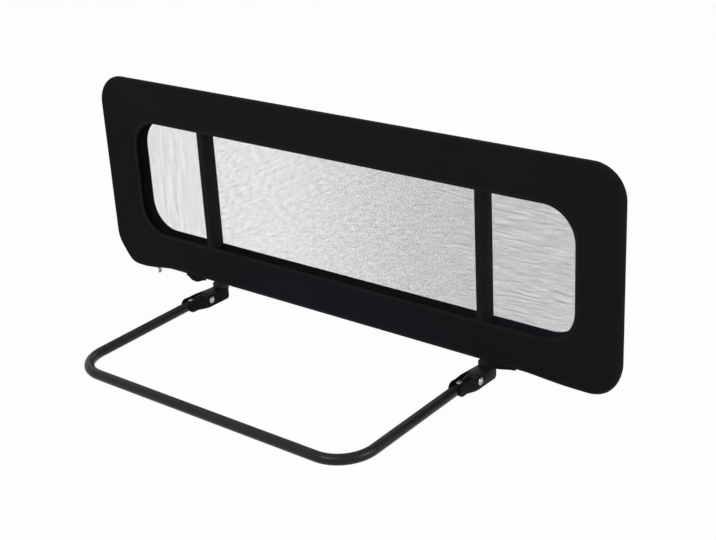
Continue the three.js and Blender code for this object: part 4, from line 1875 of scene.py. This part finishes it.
    def make_binding(self, face: Face) -> Piece:
        """Folds a tape over the edge of a layer's window.

        Args:
            face: The layer whose window it binds.

        Returns:
            The binding.
        """
        section = [(-7.2, -0.5), (-7.1, 0.25), (-6.6, 0.5), (-4, 0.62), (-1, 0.7), (0.7, 0.6)]
        section += [(1.5, 0.1), (1.6, -0.8), (1.1, -1.3), (0.4, -1.2), (0, -0.6)]
        piece = strap(f"window_binding_{face.tag}", self.lap(face, 0, 0), section, closed=True)
        return dress(piece, self.finishes.tape, "rail")

    def make_seams(self, face: Face) -> Piece:
        """Sews both rows of the window's binding.

        Args:
            face: The layer that is sewn.

        Returns:
            The stitches.
        """
        rows = [self.lap(face, inward * MM, 0.62 * MM) for inward in (-5.9, -0.9)]
        rows = [row + row[:1] for row in rows]
        piece = self.stitching.sew(f"window_stitches_{face.tag}", rows)
        return dress(piece, self.finishes.tape, "rail")

    def make_slot_binding(self, side: Side) -> Piece:
        """Binds the slot that a post leaves the cover through.

        Args:
            side: The post.

        Returns:
            The binding.
        """
        middle = side.value * self.layout.spread
        half = self.slot_half + self.slot_lap
        slope = Vector((0, 23.9, -19.2)).normalized()
        tilt = (slope + AXIS_Y).normalized()
        foot = (self.slot_front + self.slot_lap, 5.9 * MM)
        bend = (self.back_y, self.shoulder)
        top = (self.back_y, self.slot_top + self.slot_lap)
        steps = [(foot, AXIS_X, 0, slope), (bend, AXIS_X, 0, tilt), (top, AXIS_X, 1, AXIS_Y)]
        path = [
            Station(self.at(middle + way * half, *spot), across * way + AXIS_Z * rise, outward)
            for way, row in ((-1, steps), (1, reversed(steps)))
            for spot, across, rise, outward in row
        ]
        section = [(-1, -1.2), (-0.9, 0.3), (0, 0.7), (3.4, 0.6), (4.4, 0.2), (4.5, -0.4), (0, -0.4)]
        piece = strap(f"slot_binding_{side.tag}", path, section)
        return dress(piece, self.finishes.tape, "rail")

    def make_net(self, face: Face) -> None:
        """Stretches a net behind the window of one layer.

        Args:
            face: The layer.
        """
        inner = self.level(face) - face.value * self.net_depth
        half = self.layout.length / 2 - self.border_side + self.net_lap
        low, high = self.span(self.net_lap)
        radius = self.window_corner + self.net_lap
        across, up = 132, 30
        points = []
        for i in range(across + 1):
            x = -half + 2 * half * i / across
            dip = max(0.0, abs(x) - (half - radius))
            round_off = radius - math.sqrt(max(0.0, radius * radius - dip * dip))
            for k in range(up + 1):
                z = low + round_off + (high - low - 2 * round_off) * k / up
                ease = math.sin(math.pi * i / across) * math.sin(math.pi * k / up)
                wave = noise.noise(Vector((x * 9, 11.0 + face.value, z * 6)))
                points.append(self.at(x, inner - face.value * (0.5 + 0.9 * wave) * ease * MM, z))
        piece = made(f"window_net_{face.tag}", points, gridded(across, up))
        smooth(piece, 60)
        finish = self.finishes.front_net if face is Face.FRONT else self.finishes.back_net
        dress(piece, finish, "rail", f"net_{face.tag}")

    def make_band(self, face: Face, side: Side) -> None:
        """Runs a tape over the net along a post, with a row of stitches on each edge.

        Args:
            face: The layer.
            side: The post.
        """
        low, high = self.span(1.5 * MM)
        outward = AXIS_Y * face.value
        steps, sink, bulge = 24, 0.5 * MM, 0.35 * MM
        path = []
        for share in (i / steps for i in range(steps + 1)):
            y = self.level(face) - face.value * (sink - bulge * math.sin(math.pi * share))
            spot = self.at(side.value * self.layout.spread, y, low + (high - low) * share)
            path.append(Station(spot, AXIS_X, outward))
        section = [(-7.5, -0.35), (-7.5, 0.15), (-7, 0.4), (-3.5, 0.55), (0, 0.6)]
        section += [(3.5, 0.55), (7, 0.4), (7.5, 0.15), (7.5, -0.35), (0, -0.3)]
        name = f"{face.tag}_{side.tag}"
        piece = strap(f"strap_{name}", path, section)
        rows = []
        for across in (-6.1 * MM, 6.1 * MM):
            shift = AXIS_X * across + outward * 0.47 * MM
            rows.append([Station(s.place + shift, s.across, s.outward) for s in path])
        thread = self.stitching.sew(f"strap_stitches_{name}", rows)
        dress(thread, self.finishes.tape, "rail")
        dress(piece, self.finishes.tape, "rail", f"band_{name}")

    def make_sleeve(self, side: Side) -> None:
        """Joins the edges of a post's two bands with cloth that passes round the post.

        Args:
            side: The post.
        """
        low, high = self.span(1 * MM)
        skin = [(-2.5, 7.1), (3, 7.4), (9, 8.5), (13, 8.9), (18, 9), (22, 8.9), (25, 8.2), (27.4, 7.1)]
        section = skin + [(y, out - 0.7) for y, out in reversed(skin)]
        steps = 30
        webs = []
        for way in (-1, 1):
            path = []
            for i in range(steps + 1):
                z = low + (high - low) * i / steps
                swell = 1 + 0.03 * noise.noise(Vector((z * 24, way * 3.0, side.value)))
                spot = self.at(side.value * self.layout.spread, 0, z)
                path.append(Station(spot, AXIS_Y, AXIS_X * way * swell))
            webs.append(strap(f"post_sleeve_{side.tag}", path, section))
        piece = dress(join(webs), self.finishes.tape, "rail")

    def make_flap(self, side: Side) -> None:
        """Hangs the loose flap under the cover's edge beside a foot.

        Args:
            side: The foot.
        """
        near = side.value * (self.layout.spread + self.flap_gap)
        low, high = sorted((near, near + side.value * self.flap_length))
        across, down = 28, 8
        points = []
        for share in (i / across for i in range(across + 1)):
            if side is Side.LEFT:
                swell = smooth_step(share, 0.45, 0.55)
                hem = (-2.5 - 9.5 * smooth_step(share, 0.0, 0.3) + 8.5 * swell) * MM
            else:
                hem = (-12 + 10 * share) * MM
            for fall in (k / down for k in range(down + 1)):
                wave = self.flap_wave * math.sin(share * 9 + side.value) * fall
                y = self.flap_y + wave - self.flap_lean * fall
                z = self.flap_root + (hem - self.flap_root) * fall
                points.append(self.at(low + (high - low) * share, y, z))
        piece = made(f"edge_flap_{side.tag}", points, gridded(across, down, flipped=True))
        mapped(piece, lambda _, vertex: (points[vertex].x, points[vertex].z))
        apply(piece, "SOLIDIFY", thickness=self.cloth, offset=0.0)
        smooth(piece, 60)
        dress(piece, self.finishes.cloth, "rail", f"neck_flap_{side.tag}")


@dataclass
class Zip(Assembly):
    """The zip along the cover's lower edge."""

    half: float = 494 * MM
    over: float = 2 * MM
    pitch: float = 1.9 * MM
    tape_radius: float = 11.15 * MM
    tape_arc: float = 26.0
    tooth: Trio = (1.3 * MM, 5.2 * MM, 1.5 * MM)
    stop: Trio = (4 * MM, 8 * MM, 3 * MM)
    slider_x: float = -488 * MM
    runner: Trio = (10 * MM, 9.2 * MM, 4.4 * MM)
    channel: Trio = (20 * MM, 6.6 * MM, 2.5 * MM)
    lug: Trio = (4.6 * MM, 1.3 * MM, 4.4 * MM)
    lug_y: float = 3.45 * MM
    pin: Rivet = Rivet(1.6 * MM, 1.9 * MM, 0.15 * MM)
    pin_y: float = 4.05 * MM
    pin_z: float = -7.7 * MM
    eye_radius: float = 2.3 * MM
    eye_hole: float = 2.2 * MM
    stem: Trio = (1.3 * MM, 5 * MM, 5 * MM)
    tab: Trio = (1.4 * MM, 8 * MM, 6.6 * MM)

    def build(self) -> None:
        """Makes every piece of the zip."""
        self.make_tape()
        self.make_stops()
        self.make_slider()
        self.make_puller()

    def on_slider(self, y: float, z: float) -> Vector:
        """A place in the middle of the slider's length."""
        return self.at(self.slider_x, y, z)

    def make_tape(self) -> None:
        """Lays the zip's tape round the lower edge, with its row of teeth."""
        arc = [math.radians(self.tape_arc * (k / 5 - 1)) for k in range(11)]
        section = [self.tape_spot(turn, 0.45) for turn in arc]
        section += [self.tape_spot(turn, -0.15) for turn in reversed(arc)]
        length = 2 * (self.half + self.over)
        places = [self.at(length * (i / 100 - 0.5), 0, 0) for i in range(101)]
        tape = strap("zip_tape", [Station(place, AXIS_Y, -AXIS_Z) for place in places], section)
        teeth = dress(self.make_teeth(), self.finishes.moulding, "rail")
        dress(tape, self.finishes.tape, "rail", "zip_chain", slot="black_cloth")

    def tape_spot(self, turn: float, lift: float) -> Spot:
        """A point of the tape's section, in millimetres across and down."""
        radius = self.tape_radius / MM + lift
        return radius * math.sin(turn), radius * math.cos(turn) - self.layout.loop_inset / MM

    def make_teeth(self) -> Piece:
        """Models one tooth and repeats it along the zip, each to the other side of the last.

        Returns:
            All the teeth as one piece.
        """
        tooth = block("tooth", (0, 0, 0), self.tooth)
        enter(tooth)
        bpy.ops.mesh.bevel(offset=0.45 * MM, segments=1, affect="EDGES")
        leave()
        frames = []
        for i in range(int(2 * self.half / self.pitch)):
            x, y = -self.half + (i + 0.5) * self.pitch, (i % 2 - 0.5) * 0.5 * MM
            frames.append((self.at(x, y, -1.3 * MM), AXIS_X, AXIS_Z))
        return Stamp.of(tooth).repeated("zip_teeth", frames, 60)

    def make_stops(self) -> None:
        """Clamps a stop at each end of the zip."""
        for side in Side:
            centre = self.at(side.value * (self.half + 2.3 * MM), 0, -1.8 * MM)
            stop = block(f"zip_end_{side.tag}", centre, self.stop)
            enter(stop)
            pick(stop, Pick.FACE, lambda p, under=centre.z - 1.4 * MM: p.z < under)
            bpy.ops.mesh.inset(thickness=0.9 * MM, depth=-0.3 * MM)
            leave()
            rounded(stop, 0.5 * MM, segments=3)
            dress(stop, self.finishes.moulding, "rail", f"zip_stop_{side.tag}")

    def make_slider(self) -> None:
        """Moulds the slider with its channel, lugs and pin."""
        centre = self.on_slider(0, -2.8 * MM)
        body = block("zip_runner", centre, self.runner)
        enter(body)
        bevel_edges(body, lambda p: abs(p.z - centre.z) < TOUCH, 2.2 * MM, 4)
        leave()
        combine(body, block("channel", self.on_slider(0, -1.25 * MM), self.channel))
        parts = [body]
        for y in (-self.lug_y, self.lug_y):
            parts.append(block("lug", self.on_slider(y, -6.6 * MM), self.lug))
        for part in parts:
            rounded(part, 0.45 * MM)
        seats = (self.on_slider(-self.pin_y, self.pin_z), self.on_slider(self.pin_y, self.pin_z))
        parts.append(self.pin.turn("pin", seats))
        dress(join(parts), self.finishes.grey, "slider", "zip_slider")

    def make_puller(self) -> None:
        """Moulds the puller with its eye, its stem and a sunk grip."""
        pin = self.on_slider(0, self.pin_z)
        turn, width = (math.pi / 2, 0, 0), self.stem[1]
        bpy.ops.mesh.primitive_cylinder_add(
            vertices=32, radius=self.eye_radius, depth=width, location=pin, rotation=turn
        )
        eye = settle("zip_tag")
        middle = self.on_slider(0, self.pin_z - 7.7 * MM)
        tab = block("tab", middle, self.tab)
        side, end = self.tab[1] / 2 - 0.1 * MM, self.tab[2] / 2 - 0.1 * MM
        enter(tab)
        bevel_edges(
            tab, lambda p: abs(p.z - middle.z) > end and abs(p.y - middle.y) > side, 1.5 * MM, 5
        )
        for way in (-1, 1):
            pick(tab, Pick.FACE, lambda p, way=way: (p.x - middle.x) * way > 0.6 * MM)
            bpy.ops.mesh.inset(thickness=0.8 * MM, depth=-0.2 * MM)
        leave()
        stem = block("stem", self.on_slider(0, self.pin_z - 4 * MM), self.stem)
        for piece in (stem, tab):
            combine(eye, piece, "UNION")
        drill(eye, pin, AXIS_Y, self.eye_hole, 12 * MM)
        rounded(eye, 0.2 * MM)
        dress(eye, self.finishes.grey, "puller", "zip_puller")


# What is carried over, and the studio


@dataclass(frozen=True)
class Carried:
    """The plain parts that stay, all of them inside the cover or the feet."""

    finishes: Finishes

    def build(self) -> None:
        """Gives each part that still shows its finish."""
        sprung = ("saddle_screw", "snap_clip", "snap_button", "pivot_bush")
        kept = {"post_saddle": self.finishes.moulding, **dict.fromkeys(sprung, self.finishes.spring)}
        for name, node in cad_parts.items():
            for start, finish in kept.items():
                if name.startswith(start):
                    for place in node.material_slots:
                        place.material = finish.material
                    log.info("kept %s", name)


@dataclass(frozen=True)
class Lamp:
    """A soft square lamp that faces the guard, with its power in watts."""

    name: str
    place: Vector
    power: float
    size: float

    def hang(self) -> None:
        """Hangs the lamp in its place."""
        data = bpy.data.lights.new(self.name, "AREA")
        data.energy = self.power
        data.size = self.size
        lamp = bpy.data.objects.new(self.name, data)
        lamp.location = self.place
        lamp.rotation_euler = (self.place - AXIS_Z * 0.2).to_track_quat("Z", "Y").to_euler()
        bpy.context.collection.objects.link(lamp)


@dataclass
class Studio:
    """The camera, the soft lamps and the white surroundings."""

    place: Trio = (1.5419, -1.5953, 1.1219)
    azimuth: float = 39.99
    elevation: float = 22.77
    roll: float = -3.29
    lens: float = 68.69
    sky: float = 0.36
    glow: float = 0.965

    def build(self) -> None:
        """Sets up everything round the guard."""
        self.make_camera()
        for lamp in (
            Lamp("key_lamp", Vector((0.1, -1.5, 1.5)), power=15.0, size=0.8),
            Lamp("side_lamp", Vector((2.6, 0.3, 1.2)), power=26.0, size=0.9),
            Lamp("rim_lamp", Vector((-0.6, 2.4, 1.8)), power=12.0, size=1.4),
        ):
            lamp.hang()
        self.make_sky()
        self.make_floor()
        bpy.context.scene.view_settings.view_transform = "Standard"

    def make_camera(self) -> None:
        """Places the camera at the photograph's viewpoint."""
        data = bpy.data.cameras.new("camera")
        data.lens = self.lens
        data.sensor_width = 36
        data.sensor_fit = "HORIZONTAL"
        data.clip_start = 0.05
        camera = bpy.data.objects.new("camera", data)
        turn, rise, roll = (math.radians(v) for v in (self.azimuth, self.elevation, self.roll))
        ahead = Vector((math.sin(turn), -math.cos(turn), 0))
        back = ahead * math.cos(rise) + AXIS_Z * math.sin(rise)
        right = Vector((math.cos(turn), math.sin(turn), 0))
        up = back.cross(right)
        across = right * math.cos(roll) + up * math.sin(roll)
        upright = up * math.cos(roll) - right * math.sin(roll)
        turned_to = Matrix((across, upright, back)).transposed().to_4x4()
        camera.matrix_world = Matrix.Translation(self.place) @ turned_to
        bpy.context.collection.objects.link(camera)
        bpy.context.scene.camera = camera

    def make_sky(self) -> None:
        """Makes the world a plain light that looks white."""
        world = bpy.data.worlds.new("studio")
        recipe = Recipe(world)
        values = {"Value": recipe.seen(), "To Min": self.sky, "To Max": 1.0}
        strength = recipe.node("ShaderNodeMapRange", values).outputs["Result"]
        light = recipe.node("ShaderNodeBackground", {"Color": (1, 1, 1, 1), "Strength": strength})
        recipe.node("ShaderNodeOutputWorld", {"Surface": light.outputs[0]})
        bpy.context.scene.world = world

    def make_floor(self) -> None:
        """Lays a pale floor that looks white and keeps a faint shadow."""
        bpy.ops.mesh.primitive_plane_add(size=14, location=(0, 0, 0))
        floor = settle("floor")
        recipe = Recipe(bpy.data.materials.new("pale_floor"))
        matt = recipe.node("ShaderNodeBsdfDiffuse", {"Color": (0.86, 0.86, 0.86, 1)})
        glow = recipe.node("ShaderNodeEmission", {"Strength": 1.0})
        values = {0: recipe.seen() * self.glow, 1: matt.outputs[0], 2: glow.outputs[0]}
        mix = recipe.node("ShaderNodeMixShader", values)
        recipe.node("ShaderNodeOutputMaterial", {"Surface": mix.outputs[0]})
        floor.data.materials.append(recipe.owner)


def main() -> None:
    """Builds the guard and its studio."""
    logging.basicConfig(level=logging.INFO, format="%(message)s")
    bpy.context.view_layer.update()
    layout, finishes = Layout(), Finishes()
    assemblies = [kind(layout, finishes) for kind in (Base, Loop, Cover, Zip)]
    for part in (Studio(), *assemblies, Carried(finishes)):
        part.build()
        log.info("%s is done", type(part).__name__)


if __name__ == "__main__":
    main()
